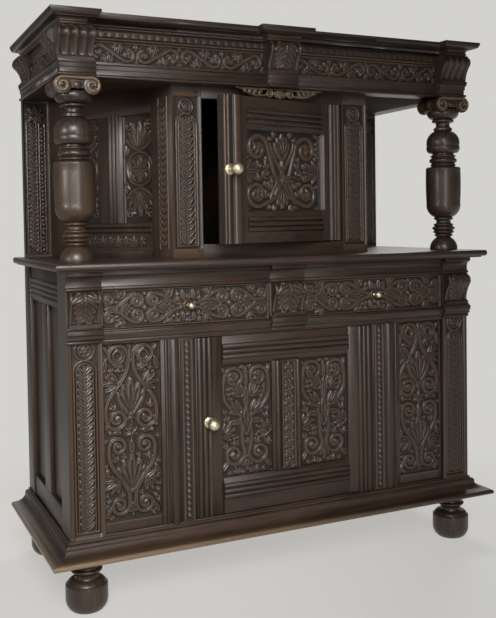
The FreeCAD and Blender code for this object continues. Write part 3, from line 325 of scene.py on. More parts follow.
def fixed(piece, body, stands_for, finish):
    """Finish a piece: its material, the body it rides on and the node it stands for."""
    piece.data.materials.clear()
    piece.data.materials.append(finish)
    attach(piece, body)
    if stands_for:
        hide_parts(stands_for)
    return piece


def dressed(node, finish, edge=ARRIS, crease=PLAIN_CREASE):
    """A copy of a plain solid's surface with its arrises rubbed round."""
    piece = bpy.data.objects.new(node + "_dressed", nodes[node].data.copy())
    bpy.context.collection.objects.link(piece)
    bench(piece)
    bpy.ops.mesh.customdata_custom_splitnormals_clear()
    edit(all_of_it, weld)
    if edge:
        edit(all_of_it, lambda: bpy.ops.mesh.dissolve_limited(angle_limit=math.radians(0.5)))
        arris = piece.modifiers.new("arris", "BEVEL")
        arris.width = edge * MM
        arris.segments = 2
        arris.limit_method = "ANGLE"
        arris.angle_limit = math.radians(ARRIS_ANGLE)
        bpy.ops.object.modifier_apply(modifier="arris")
    smoothed(crease)
    return fixed(piece, nodes[node]["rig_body"], node, finish)


def joined(name, parts):
    """Several parts made one piece."""
    bench(parts[0])
    for part in parts[1:]:
        part.select_set(True)
    bpy.ops.object.join()
    piece = bpy.context.object
    piece.name = name
    bpy.ops.object.transform_apply(location=True, rotation=True, scale=True)
    smoothed(JOINED_CREASE)
    return piece


def turned_along_y(profile, x, y, z):
    """A turning about a level axis, spun from (radius, distance back) points in millimetres."""
    mesh = bpy.data.meshes.new("turning")
    mesh.from_pydata([metres(x + r, y + d, z) for r, d in profile],
                     [(i, i + 1) for i in range(len(profile) - 1)], [])
    piece = bpy.data.objects.new("turning", mesh)
    bpy.context.collection.objects.link(piece)
    bench(piece)
    edit(all_of_it, lambda: bpy.ops.mesh.spin(steps=48, angle=2 * math.pi, axis=(0, 1, 0),
                                              center=metres(x, y, z)),
         all_of_it, weld, all_of_it, face_outwards)
    return piece


def ribbon(points, radius):
    """A round bead along points in millimetres, closed at both ends and lightened as a painted highlight."""
    curve = bpy.data.curves.new("bead", "CURVE")
    curve.dimensions = "3D"
    curve.bevel_depth = radius * MM
    curve.bevel_resolution = 3
    curve.use_fill_caps = True
    spline = curve.splines.new("POLY")
    spline.points.add(len(points) - 1)
    for spot, point in zip(spline.points, points):
        spot.co = metres(*point) + [1]
    piece = bpy.data.objects.new("bead", curve)
    bpy.context.collection.objects.link(piece)
    bench(piece)
    bpy.ops.object.convert(target="MESH")
    piece = bpy.context.object
    set_wear_and_highlight(piece, np.full(len(piece.data.vertices), RIBBON_HIGHLIGHT))
    return piece


def ball(x, y, z, r, stretch=(1, 1, 1)):
    """A ball or an egg, as a start for a joined piece."""
    deselect()
    bpy.ops.mesh.primitive_uv_sphere_add(segments=24, ring_count=14, radius=r * MM, scale=stretch,
                                         location=metres(x, y, z))
    return bpy.context.object


def block(x, y, z, width, depth, height, edge):
    """A block with rounded edges."""
    deselect()
    bpy.ops.mesh.primitive_cube_add(size=1, location=metres(x, y, z), scale=metres(width, depth, height))
    bpy.ops.object.transform_apply(location=True, rotation=True, scale=True)
    piece = bpy.context.object
    arris = piece.modifiers.new("arris", "BEVEL")
    arris.width = edge * MM
    arris.segments = 3
    bpy.ops.object.modifier_apply(modifier="arris")
    return piece


# Carver's lines, as rows of (u, v) points in millimetres

def arc(x, y, r, start, end, count=48):
    a = np.radians(np.linspace(start, end, count))
    return np.stack((x + r * np.cos(a), y + r * np.sin(a)), -1)


def volute(x, y, r, start, way, turns=1.5, inner=0.2):
    """A spiral from its outer end, at the start angle, inwards; way 1 turns against the clock."""
    t = np.linspace(0, 1, int(44 * turns))
    a = math.radians(start) + way * 2 * math.pi * turns * t
    radius = r * (1 - (1 - inner) * t)
    return np.stack((x + radius * np.cos(a), y + radius * np.sin(a)), -1)


def bridge(p, p_way, q, q_way, reach, count=40):
    """A smooth curve from one point and way to another. Reach sets how long it holds each way."""
    p, p_way, q, q_way = (np.asarray(v, float) for v in (p, p_way, q, q_way))
    t = np.linspace(0, 1, count)[:, None]
    a, b = p + p_way * reach, q - q_way * reach
    return p * (1 - t) ** 3 + 3 * a * t * (1 - t) ** 2 + 3 * b * t ** 2 * (1 - t) + q * t ** 3


def unit(v):
    return v / np.linalg.norm(v)


def scroll(first, second, pull=0.5):
    """A stem that uncoils from one volute and coils into another."""
    one, two = volute(*first), volute(*second)
    reach = pull * np.linalg.norm(two[0] - one[0])
    stem = bridge(one[0], unit(one[0] - one[1]), two[0], unit(two[1] - two[0]), reach)
    return np.concatenate((one[::-1], stem[1:-1], two))


def mirrored(points):
    """The same line on the other side of the middle."""
    return points * (-1, 1)


def arch(half, low, high):
    """An upright frame, round at the top."""
    top = arc(0, high - half, half, 0, 180)
    return np.concatenate(([(half, low)], top, [(-half, low)]))


# How carving is rubbed and soiled
SOFTENED = 3            # steps of the grid over which a face is averaged, to tell what stands proud of it
RUBBED_AT = 1.1         # millimetres proud at which an edge is rubbed to the full
SOIL_FROM = 0.45        # share of the ground's depth at which dirt starts
SOIL_SPAN = 0.55        # what remains from there to the ground
GROUND_SOIL = 0.5       # how much dirt lies on the ground
LAID_SOIL = 0.3         # share of that round carving that is laid on plain wood
LAID_LOW = 0.3          # where such carving rises less than this, in millimetres


class Carving:
    """Heights of a carved face in millimetres over a grid: 0 is the face, and the ground lies below it."""

    def __init__(self, u0, u1, v0, v1, ground, pitch=1.5):
        self.u = np.linspace(u0, u1, round((u1 - u0) / pitch) + 1)
        self.v = np.linspace(v0, v1, round((v1 - v0) / pitch) + 1)
        self.ground = ground
        self.raised = np.zeros((len(self.v), len(self.u)))
        self.sunk = np.zeros_like(self.raised)

    def stamp(self, heights, points, radii, amounts, crest):
        for (x, y), r, amount in zip(points, radii, amounts):
            i0, i1 = np.searchsorted(self.u, (x - r, x + r))
            j0, j1 = np.searchsorted(self.v, (y - r, y + r))
            if i0 < i1 and j0 < j1:
                away = (self.u[i0:i1] - x) ** 2 + ((self.v[j0:j1] - y) ** 2)[:, None]
                patch = heights[j0:j1, i0:i1]
                np.maximum(patch, amount * np.clip(1 - away / r ** 2, 0, 1) ** crest, out=patch)

    def along(self, heights, points, radii, amount, crest):
        """Stamp a row of points closely enough to read as one line. Radii may vary from end to end."""
        points = np.asarray(points, float)
        gone = np.concatenate(([0], np.cumsum(np.linalg.norm(np.diff(points, axis=0), axis=1))))
        radii = np.atleast_1d(np.asarray(radii, float))
        count = max(2, int(gone[-1] / max(0.5, radii.max() * 0.22)) + 1)
        at = np.linspace(0, gone[-1], count)
        x, y = np.interp(at, gone, points[:, 0]), np.interp(at, gone, points[:, 1])
        widths = np.interp(np.linspace(0, 1, count), np.linspace(0, 1, len(radii)), radii)
        amounts = amount * (0.55 + 0.45 * widths / radii.max())
        self.stamp(heights, np.stack((x, y), -1), np.maximum(widths, 0.8), amounts, crest)

    def line(self, points, radii, top, crest=0.8):
        self.along(self.raised, points, radii, top, crest)

    def groove(self, points, radii, depth, crest=1.0):
        self.along(self.sunk, points, radii, depth, crest)

    def boss(self, x, y, r, top, crest=0.7):
        self.stamp(self.raised, [(x, y)], [r], [top], crest)

    def leaf(self, x, y, angle, length, width, top):
        """A blade from its stalk to its tip, with a vein."""
        way = np.array((math.cos(math.radians(angle)), math.sin(math.radians(angle))))
        t = np.linspace(0, 1, 12)
        points = np.array((x, y)) + t[:, None] * way * length
        self.line(points, width * (0.4 + 0.85 * np.sin(math.pi * (0.12 + 0.8 * t) ** 0.8)), top, 0.55)
        self.groove(points[1:10], width * 0.3, top * 0.45)

    def fan(self, x, y, angle, size, lobes, spread, top, width=0.17):
        """A palmette: blades that spread from one foot, the middle one longest."""
        for share in np.linspace(-1, 1, lobes):
            self.leaf(x, y, angle + share * spread / 2, size * (1 - 0.28 * abs(share)), size * width, top)
        self.boss(x, y, size * 0.16, top)

    def ring(self, x, y, r, width, top):
        self.line(arc(x, y, r, 0, 360, 72), width, top)

    def flower(self, x, y, r, petals, top):
        for i in range(petals):
            self.leaf(x, y, 90 + 360 * i / petals, r, r * 0.3, top)
        self.boss(x, y, r * 0.3, top * 1.05)

    def coil(self, points, width, top):
        """A scroll's flat stem with a gouged middle, and a boss in the eye at each end."""
        self.line(points, np.array((0.8, 1, 1, 1, 1, 0.8)) * width, top, 0.42)
        self.groove(points[4:-4], width * 0.32, top * 0.26)
        for end in (points[0], points[-1]):
            self.boss(*end, width * 1.25, top)

    def fill(self, half, low, high, *sizes):
        """Sprigs of three leaves wherever the ground lies bare, alike on both sides of the middle."""
        for size in sizes:
            near = size * 0.8
            for v in np.arange(low + near, high - near, size * 0.45):
                for u in np.arange(0, half - near, size * 0.45):
                    i0, i1 = np.searchsorted(self.u, (u - near, u + near))
                    j0, j1 = np.searchsorted(self.v, (v - near, v + near))
                    if self.raised[j0:j1, i0:i1].max() < 0.3 * self.ground:
                        for side in (-1, 1):
                            self.fan(side * u, v - size * 0.7, 90 - side * 22, size * 1.5, 3, 96,
                                     self.ground, 0.24)

    def rounds(self, *spans):
        """Upright half-rounds, each from (one edge, other edge, rise)."""
        for u0, u1, rise in spans:
            across = (2 * self.u - u0 - u1) / (u1 - u0)
            np.maximum(self.raised, rise * np.sqrt(np.clip(1 - across ** 2, 0, 1)), out=self.raised)

    def chamfer(self, u0, u1, v0, v1, depth):
        """Slope the face down from u1 to its full depth at u0, between two heights."""
        rows = (self.v >= v0) & (self.v <= v1)
        self.sunk[rows] = np.maximum(self.sunk[rows], depth * np.clip((u1 - self.u) / (u1 - u0), 0, 1))

    def flat(self, x, y, r):
        """A round flat for a knob's rosette."""
        away = (self.u - x) ** 2 + ((self.v - y) ** 2)[:, None]
        self.raised[away < r ** 2] = 0

    def land(self, u0, u1, v0, v1, edge=2.0):
        """Leave the wood at its full face outside a rectangle."""
        across = np.maximum(u0 - self.u, self.u - u1)
        up = np.maximum(v0 - self.v, self.v - v1)
        outside = np.maximum(across[None, :], up[:, None])
        np.maximum(self.raised, self.ground * np.clip(outside / edge, 0, 1), out=self.raised)

    def finished(self, margins):
        """Grid lines, heights and wear, with plain margins at the left, right, foot and head."""
        heights = self.raised - self.sunk - self.ground
        soft = blurred(blurred(heights, SOFTENED), SOFTENED)
        if self.ground:
            deep = np.clip(-heights / self.ground - SOIL_FROM, 0, SOIL_SPAN) / SOIL_SPAN
        else:
            deep = LAID_SOIL * (self.raised < LAID_LOW)
        wear_and_highlight = np.clip((heights - soft) / RUBBED_AT - GROUND_SOIL * deep, -1, 1)
        left, right, foot, head = margins
        u = np.concatenate((self.u[:1] - left, self.u, self.u[-1:] + right))
        v = np.concatenate((self.v[:1] - foot, self.v, self.v[-1:] + head))
        edge = "constant" if any(margins) else "edge"
        heights, wear_and_highlight = np.pad(heights, 1, edge), np.pad(wear_and_highlight, 1, edge)
        return u, v, heights, wear_and_highlight


def blurred(heights, n):
    """Each height averaged with its neighbours up to n steps away, both ways."""
    for axis in (0, 1):
        pad = [(0, 0), (0, 0)]
        pad[axis] = (n + 1, n)
        total = np.cumsum(np.pad(heights, pad, "edge"), axis=axis)
        length = heights.shape[axis]
        ahead, behind = np.arange(length) + 2 * n + 1, np.arange(length)
        heights = (np.take(total, ahead, axis) - np.take(total, behind, axis)) / (2 * n + 1)
    return heights


def carved(name, body, stands_for, finish, carving, place, back, margins=(0, 0, 0, 0)):
    """A closed carved board: a grid set to the carving's heights, its rim drawn to the back and filled."""
    u, v, heights, wear_and_highlight = carving.finished(margins)
    u, v = np.pad(u, 1, "edge"), np.pad(v, 1, "edge")
    heights, wear_and_highlight = np.pad(heights, 1, "edge"), np.pad(wear_and_highlight, 1)
    board, i, j = grid_board(name, u, v)
    rim = (i == 0) | (j == 0) | (i == len(u) - 1) | (j == len(v) - 1)
    points = place(u[i], v[j], heights[j, i])
    points[rim] = back(u[i][rim], v[j][rim])
    set_points(board, points)
    set_wear_and_highlight(board, np.where(rim, 0, wear_and_highlight[j, i]))
    edit(lambda: bpy.ops.mesh.select_mode(type="EDGE"), all_of_it, weld, all_of_it,
         bpy.ops.mesh.region_to_loop, bpy.ops.mesh.edge_face_add, all_of_it, face_outwards)
    smoothed(CARVED_CREASE)
    return fixed(board, body, stands_for, finish)


DROP_LOW = 6.0          # how far the lowest scrollwork lies behind the front of its board
DROP_RISE = 0.75        # share of the carving's height by which it stands up
DROP_CUT = 0.8          # the board is cut away where the carving rises less than this
DROP_THICK = 5.0
DROP_HIGHLIGHT = 0.035       # painted highlight for each millimetre that the scrollwork stands up


def pierced(name, node, finish, carving, place, thick):
    """A board cut through wherever the carving is not raised: a grid with its ground cut away, made solid."""
    u, v = carving.u, carving.v
    board, i, j = grid_board(name, u, v)
    raised = carving.raised[j, i]
    points = place(u[i], v[j], np.maximum(thick - DROP_LOW + raised * DROP_RISE, 0))
    set_points(board, points)
    # The raised scrollwork is lightened as a painted highlight
    set_wear_and_highlight(board, DROP_HIGHLIGHT * raised)
    wood = board.vertex_groups.new(name="wood")
    wood.add(np.nonzero(raised > DROP_CUT)[0].tolist(), 1.0, "REPLACE")
    cut = board.modifiers.new("cut", "MASK")
    cut.vertex_group = "wood"
    solid = board.modifiers.new("solid", "SOLIDIFY")
    solid.thickness = DROP_THICK * MM
    solid.offset = -1
    bench(board)
    for step in ("cut", "solid"):
        bpy.ops.object.modifier_apply(modifier=step)
    edit(all_of_it, face_outwards)
    smoothed(PIERCED_CREASE)
    return fixed(board, "carcass", node, finish)


# Where a carved face lies: each gives points in millimetres from (u, v, height)

def on_front(x, y, z):
    return lambda u, v, h: np.stack((x + u, y - h, z + v), -1)


def on_side(x, y, z, way):
    """A face that looks to the right for way 1, or to the left for -1."""
    return lambda u, v, h: np.stack((way * (x + h), y + way * u, z + v), -1)


def on_cant(station, inset, way, z):
    """A face of the canted side on the right for way 1, or its mirror image for -1."""
    foot = CANT_START + station * CANT_ALONG - inset * CANT_OUT

    def place(u, v, h):
        flat = foot + (way * u)[:, None] * CANT_ALONG + np.broadcast_to(h, u.shape)[:, None] * CANT_OUT
        return np.stack((way * flat[:, 0], flat[:, 1], z + v), -1)
    return place


def at_depth(place, depth):
    """The back of a board of even depth."""
    return lambda u, v: place(u, v, np.full(u.shape, -depth))


def swung(place):
    """The same face on the upper door, turned with it about its pivot."""
    turn = np.array(((math.cos(AJAR), -math.sin(AJAR)), (math.sin(AJAR), math.cos(AJAR))))

    def turned_place(u, v, h):
        points = place(u, v, h)
        points[:, :2] = (points[:, :2] - UPPER_PIVOT) @ turn.T + UPPER_PIVOT
        return points
    return turned_place


# Carved patterns, laid out from the middle of each board's foot unless said otherwise

def lyre_panel(c):
    """Two pairs of scrolls, one above the other: the upper pair opens downwards and the lower pair closes."""
    top = c.ground
    upper = scroll((39, 504, 31, 180, -1, 1.25, 0.5), (43, 322, 32, 0, -1, 1.6), 0.45)
    lower = scroll((41, 242, 27, 0, 1, 1.5), (38, 72, 28, 180, 1, 1.6), 0.45)
    for line in (upper, lower):
        for stem in (line, mirrored(line)):
            c.coil(stem, 7, top)
    for way in (-1, 1):
        for x, v, r in ((43, 322, 9), (41, 242, 8), (38, 72, 9), (63, 283, 9)):
            c.boss(way * x, v, r, top)
        c.fan(way * 40, 424, 90 - way * 92, 46, 5, 130, top)
        c.fan(way * 22, 462, 90 - way * 62, 34, 3, 70, top)
        c.leaf(way * 80, 462, 90 + way * 12, 34, 8, top)
        c.fan(way * 42, 142, 90 - way * 118, 46, 5, 120, top)
        c.leaf(way * 72, 176, 90 - way * 160, 30, 8, top)
        c.leaf(way * 76, 296, 90 + way * 20, 26, 7, top)
        c.leaf(way * 34, 283, 90 - way * 90, 22, 7, top)
        c.ring(way * 39, 504, 13, 5, top)
        c.leaf(way * 78, 42, 90 + way * 25, 30, 7, top)
        c.leaf(way * 77, 530, 90 + way * 150, 22, 6, top)
    c.fan(0, 336, 90, 96, 5, 66, top)
    c.fan(0, 330, 270, 24, 3, 90, top)
    c.flower(0, 283, 20, 6, top)
    c.fan(0, 114, 90, 98, 5, 64, top)
    c.leaf(0, 224, 90, 32, 9, top)
    c.fan(0, 74, 270, 36, 3, 44, top)
    c.leaf(0, 488, 90, 44, 7, top)
    c.fill(84, 34, 538, 13, 8.5)


def crossed_scrolls(c, v):
    """Great S-scrolls that cross in the middle, with lesser stems, curls and leaves between."""
    top = c.ground
    cross = scroll((100, v + 68, 42, 172, -1, 1.5), (-104, v - 70, 41, -58, -1, 1.5), 0.5)
    inner = bridge((-50, v + 84), (0.25, -1), (52, v - 96), (0.25, -1), 60)
    for line in (inner, mirrored(inner)):
        c.coil(line, 5.4, top * 0.9)
    for line in (cross, mirrored(cross)):
        c.coil(line, 7.2, top)
    for side in (-1, 1):
        curl = volute(side * 66, v - 8, 17, 90 + side * 120, side, 1.4)
        c.coil(np.concatenate(([(side * 16, v - 18)], curl)), 4.2, top)
        c.fan(side * 150, v, 90 + side * 90, 54, 5, 120, top)
        c.fan(side * 100, v + 68, 90 - side * 45, 24, 5, 240, top)
        c.fan(side * 104, v - 70, 90 + side * 130, 24, 5, 240, top)
        for up in (-1, 1):
            c.leaf(side * 150, v + up * 112, 90 + side * (90 - up * 50), 26, 7, top)
            c.leaf(side * 34, v + up * 108, 90 + side * (90 - up * 90), 26, 8, top)
    for up in (-1, 1):
        c.fan(0, v + up * 40, 90 * up, 72, 5, 66, top)
        c.leaf(0, v + up * 8, 90 * up, 28, 7, top)
    c.fill(154, v - 118, v + 118, 14, 9)


def door_scrolls(c, v):
    """A pair of rings above, whose stems run down the edges, cross low down and coil again."""
    top = c.ground
    line = scroll((40, v + 126, 33, 5, 1, 1.4, 0.35), (-42, v - 108, 36, 25, -1, 1.5), 0.62)
    for stem in (line, mirrored(line)):
        c.coil(stem, 6.6, top)
    for side in (-1, 1):
        c.flower(side * 40, v + 126, 17, 6, top)
        c.boss(side * 42, v - 108, 10, top)
        c.fan(side * 14, v + 70, 90 - side * 40, 46, 4, 70, top)
        c.fan(side * 18, v + 20, 90 - side * 55, 48, 4, 70, top)
        c.leaf(side * 20, v - 8, 90 - side * 95, 36, 9, top)
        c.fan(side * 80, v - 44, 90 + side * 70, 46, 5, 110, top)
        c.leaf(side * 80, v - 152, 90 + side * 40, 26, 8, top)
        c.leaf(side * 78, v + 156, 90 + side * 150, 24, 6, top)
    c.fan(0, v - 44, 90, 78, 3, 34, top)
    c.leaf(0, v + 42, 90, 54, 9, top)
    c.leaf(0, v + 104, 90, 50, 7, top)
    c.fan(0, v - 118, 270, 42, 3, 60, top)
    c.fill(82, v - 168, v + 168, 13, 8.5)


def drawer_scrolls(c, v):
    """Spade-shaped pairs of scrolls laid on their sides, about the knob."""
    top = c.ground
    outer = scroll((-238, 24, 17, 270, -1, 1.3), (-158, 21, 20, 120, -1, 1.5), 0.5)
    curl = volute(-108, 22, 20, 70, 1, 1.5)
    tail = bridge(curl[0], unit(curl[0] - curl[1]), (-22, 5), (1, -0.15), 36)
    inner = np.concatenate((curl[::-1], tail[1:]))
    for side in (1, -1):
        for up in (-1, 1):
            for line in (outer, inner):
                c.coil(line * (side, up) + (0, v), 6.4, top)
            c.fan(side * -200, v + up * 32, 90 + side * (90 - up * 60), 30, 4, 110, top)
            c.fan(side * -56, v + up * 30, 90 + side * (90 - up * 62), 28, 4, 100, top)
            c.boss(side * -132, v + up * 40, 6, top)
            c.leaf(side * -16, v + up * 22, 90 * up, 22, 7, top)
        c.fan(side * -216, v, 90 - side * 90, 48, 5, 60, top)
        c.leaf(side * -250, v, 90 - side * 90, 26, 7, top)
        c.boss(side * -133, v, 9, top)
        c.fan(side * -102, v, 90 - side * 90, 58, 5, 50, top)
    c.ring(0, v, 14, 4, top)
    c.fill(256, v - 48, v + 48, 10, 7)


def leaf_arcade(c, half, low, high, step, roundel):
    """An arched frame of two fillets round a rising column of leaves, with a roundel over it."""
    top = c.ground
    c.line(arch(half, low, high), 3.4, top, 0.5)
    c.line(arch(half - 8, low + 6, high - 8), 2.4, top * 0.85, 0.5)
    space = half - 11
    for v in np.arange(low + 8, high - half * 0.8, step):
        for side in (-1, 1):
            c.leaf(side * 1.5, v, 90 - side * 44, space * 1.2, space * 0.36, top)
        c.leaf(0, v + step * 0.3, 90, step * 0.7, 3.4, top)
    c.line([(-half, low), (half, low)], 3.2, top, 0.5)
    r = roundel
    c.ring(0, high + r + 1, r, 4, top)
    c.ring(0, high + r + 1, r * 0.62, 2.4, top * 0.7)
    c.flower(0, high + r + 1, r * 0.45, 6, top * 0.7)


def ladder_of_leaves(c, half, low, high, step, top):
    """A strip of leaf sprays stacked like rungs, between two fillets."""
    for edge in (-half, half):
        c.line([(edge, low), (edge, high)], 2.8, top, 0.5)
    for v in np.arange(low + step * 0.4, high - step * 0.5, step):
        c.fan(0, v, 90, half * 0.9, 5, 165, top, 0.26)
        c.line(arc(0, v + step * 0.1, half * 0.72, 200, 340), 2.6, top)


def bead_row(c, low, high, r, step):
    for v in np.arange(low + step / 2, high, step):
        c.boss(0, v, r, c.ground + r * 0.75)
        c.boss(0, v + step / 2, r * 0.5, c.ground + r * 0.3)


def roundel_panel(c, v):
    """A medallion with a flower, and fans above and below it."""
    top = c.ground
    c.ring(0, v, 52, 5, top)
    c.ring(0, v, 41, 2.6, top * 0.8)
    c.flower(0, v, 36, 8, top)
    for up in (-1, 1):
        c.fan(0, v + up * 60, 90 * up, 84, 7, 120, top, 0.13)
        for side in (-1, 1):
            c.coil(volute(side * 42, v + up * 138, 18, 90 + side * 90, side * up, 1.4), 4, top)
            c.fan(side * 58, v + up * 44, 90 * up, 30, 3, 70, top)


def laurel_and_beads(c, low, high, way):
    """A twisted laurel beside a row of beads, with a flower at the head."""
    top = c.ground
    laurel, row = way * 14, way * -20
    for v in np.arange(low + 8, high - 70, 14.0):
        c.leaf(laurel - way * 11, v, 90 - way * 46, 30, 6.6, top)
    for v in np.arange(low + 8, high - 64, 14.0):
        c.boss(row, v, 6.6, top)
    for edge in (laurel - 16, laurel + 16, row - 9, row + 9):
        c.line([(edge, low), (edge, high - 62)], 2.4, top * 0.9, 0.5)
    c.flower(0, high - 34, 27, 8, top)


def running_scrolls(c, count, pitch, start, middle, r):
    """Long S-stems in a row that rise and fall by turns and hook over clusters of leaves."""
    top = c.ground
    reach = pitch / 2 - r - 1.5
    lean = 42
    rising = scroll((-reach, 0, r, 270 + lean, -1, 0.56, 0.6), (reach, 0, r, 90 + lean, -1, 0.56, 0.6), 0.33)
    for way in (-1, 1):
        for i in range(count):
            x = way * (start + (i + 0.5) * pitch)
            up = way * (1 if i % 2 else -1)
            c.coil(rising * (1, up) + (x, middle), 6.4, top)
            for end in (-1, 1):
                c.fan(x + end * reach, middle + up * end * 7, -90 * up * end, r * 0.9, 5, 150, top * 0.8, 0.2)
                c.fan(x + end * 14, middle - up * end * r * 1.2, 90 * up * end, r * 1.2, 5, 110,
                      top * 0.8, 0.2)
        for i in range(count + 1):
            for up in (-1, 1):
                c.fan(way * (start + i * pitch), middle + up * (r + 4), -90 * up, r * 0.7, 3, 80, top * 0.8)


def arcade_row(c, u0, u1, low, high, step):
    """A row of small round-headed hollows."""
    count = round((u1 - u0) / step)
    width = (u1 - u0) / count
    for i in range(count):
        x = u0 + (i + 0.5) * width
        c.groove([(x, low + 3), (x, high - width * 0.42)], width * 0.32, 1.1, 0.8)


def flutes(c, half, low, high, count):
    width = 2 * half / count
    for i in range(count):
        x = -half + (i + 0.5) * width
        c.groove([(x, low), (x, high)], width * 0.36, 2.6, 0.7)


def acanthus(c, half, low, high):
    """A broad leaf that hangs from its head, with curled edges."""
    length = high - low
    for side in (-1, 1):
        for i in range(5):
            v = high - length * (0.12 + 0.17 * i)
            c.leaf(side * 2, v, 270 + side * (62 - 6 * i), half * (0.98 - 0.08 * i), half * 0.24, 4.5)
        c.coil(volute(side * half * 0.55, high - length * 0.14, half * 0.32, 90, side, 1.4), 3.4, 4.5)
    c.line([(0, high - 4), (0, low + length * 0.1)], np.array((3.8, 4.6, 2.6)), 5)
    c.fan(0, low + length * 0.32, 270, length * 0.28, 5, 90, 4.5)


# Mouldings that carry carving, as (share of the projection, share of the height), arcs with a middle point
CONSOLE_SHAPE = [(0.53, 0), (0.53, 0.1), (0.23, 0.14), (0.38, 0.38, 0.78, 0.62), (1, 0.82, 0.62, 0.95),
                 (0.33, 1)]
CANOPY_CONSOLE_SHAPE = [(0.67, 0), (0.67, 0.09), (0.55, 0.13), (0.65, 0.36, 0.88, 0.6), (1, 0.78, 0.84, 0.92),
                        (0.73, 1)]
FACING = 3.0    # distance along a moulding, each way, over which its facing is taken


def through(p, q, r, count=14):
    """Points on the circle through three points, from the first to the last."""
    a, b = q - p, r - p
    turn = 2 * (a[0] * b[1] - a[1] * b[0])
    centre = p + np.array((b[1] * (a @ a) - a[1] * (b @ b), a[0] * (b @ b) - b[0] * (a @ a))) / turn
    angles = np.unwrap([math.atan2(*(point - centre)[::-1]) for point in (p, q, r)])
    a = np.interp(np.linspace(0, 2, count), (0, 1, 2), angles)
    return centre + np.linalg.norm(p - centre) * np.stack((np.cos(a), np.sin(a)), -1)


class Moulding:
    """A moulded face: points along its profile by distance, and the way out of the face there."""

    def __init__(self, shape, out, low, height):
        size = np.array((out, height))
        rows = [np.array([shape[0]]) * size]
        for step in shape[1:]:
            pairs = np.array(step).reshape(-1, 2) * size
            rows.append(through(rows[-1][-1], *pairs)[1:] if len(pairs) == 2 else pairs)
        self.points = np.concatenate(rows) + (0, low)
        self.gone = np.concatenate(([0], np.cumsum(np.linalg.norm(np.diff(self.points, axis=0), axis=1))))
        self.length = self.gone[-1]

    def spot(self, v):
        """How far out and how high the profile lies, v along it."""
        return np.array([np.interp(v, self.gone, self.points[:, k]) for k in (0, 1)])

    def at(self, v, h):
        """How far out and how high a point lies that is v along the profile and h above the face."""
        out, up = self.spot(v)
        run = self.spot(np.minimum(v + FACING, self.length)) - self.spot(np.maximum(v - FACING, 0))
        size = np.hypot(*run)
        return out + h * run[1] / size, up - h * run[0] / size


def moulded(name, stands_for, moulding, carving, face):
    """A carved console: its carving is bent over a moulding, and its back lies on a flat face."""
    def place(u, v, h):
        out, up = moulding.at(v, h)
        return face(u, up, out)

    def back(u, v):
        out, up = moulding.at(v, 0 * v)
        return face(u, up, 0 * out)
    return carved(name, "carcass", stands_for, OAK_Z, carving, place, back)


def front_board(name, node, finish, carving, x_span=None, foot=0.0):
    """A carved board in the place of a solid that looks to the front. The x span picks one board of several,
    and the pattern starts at the foot given."""
    low, high = room(node)
    x0, x1 = x_span or (low[0], high[0])
    half, height = (x1 - x0) / 2, high[2] - low[2]
    place = on_front((x0 + x1) / 2, low[1], low[2] + foot)
    margins = (carving.u[0] + half, half - carving.u[-1], carving.v[0] + foot, height - foot - carving.v[-1])
    return carved(name, nodes[node]["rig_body"], node, finish, carving, place,
                  at_depth(place, high[1] - low[1]), margins)


def laid_on(name, body, finish, carving, place):
    """A strip of carving let a little way into plain wood, which stays behind it."""
    return carved(name, body, None, finish, carving, place, at_depth(place, LAID_DEEP))


SIDES = (("left", -1), ("right", 1))

# Sizes of the carved work, in millimetres
POST_RELIEF = 4.5           # depth of the ground on posts, pilasters and rear stiles
PANEL_RELIEF = 6.0          # on the front panels and the upper door's panel
DOOR_RELIEF = 5.5           # on the lower door's panels
SMALL_RELIEF = 5.0          # on drawers, canted panels and the frieze
LAID_PROUD = 0.1            # a strip of carving stands this far in front of the wood that it covers
LAID_DEEP = 1.5             # and reaches this far into it
TONGUE = 8.0                # how far a panel's edge runs into its groove
RIM = 4.0                   # what a panel keeps plain round its carving, within the groove
BAND_PROUD = 4.0            # the beaded band stands this far in front of its muntin
MUNTIN_BAND_X = 334.0       # middle of the beaded band
BAND_HALF = 20.0
POST_CONSOLE_HALF = 45.0    # half the width of a console on the drawer frieze
CENTRE_CONSOLE_HALF = 54.0
LOWER_PANEL_IN = 44.0       # from the lower door's middle to the near edge of a panel
UPPER_PANEL_HALF = 164.5
UPPER_PANEL_INSET = 14.0    # from the upper door's face back to its panel
UPPER_PANEL_THICK = 12.0
STILE_W = 87.0              # width of a door's stile
REEDS_INSET = 2.0           # the reeds stand on a ground this far back
DOOR_T = 28.0
DOOR_GAP = 2.5              # play round a door
KNOB_EDGE = 19.0            # from the upper door's free edge to the middle of its knob
ROSETTE_R = 17.8            # the knob's rosette, with room round it
BACK_BELOW = -10.0          # points this far below a face belong to the back of its board
CANT_PANELS = (("front", 147.5), ("rear", 385.5))   # middle of each panel along the canted side
CANT_PANEL_HALF = 67.5
CANT_PANEL_INSET = 11.0
CANT_PANEL_THICK = 14.0
CANT_STILE_X = 36.0         # middle of the canted side's front stile
CANT_MIDDLE_X = 266.0
FRIEZE_THICK = 28.0
FRIEZE_PITCH = 1.6          # step of the carving's grid
FRIEZE_SCROLLS = 4          # on each half of the front
FLANK_SCROLL = 150.0        # length of a scroll on the canopy's sides
FRIEZE_CENTRE_GAP = 52.0    # half the width of the middle console
FRIEZE_END_GAP = 84.0       # what the corner console covers
FRONT_CONSOLE_HALF = 52.5
SIDE_CONSOLE_HALF = 50.0
DROP_PITCH = 1.25
ROLL_R = 25.5               # a capital's rolls
ROLL_X = 42.0               # from the capital's middle to the middle of a roll
CAPITAL_NECK = 6.0          # height of the neck below a capital's block
PLINTH_ROLL = 16.0          # height of the roll round the plinth's foot
PLINTH_HIGHLIGHT = (0.85, 0.05)  # strength of the painted highlight on that roll at its left and right ends


# Lower case

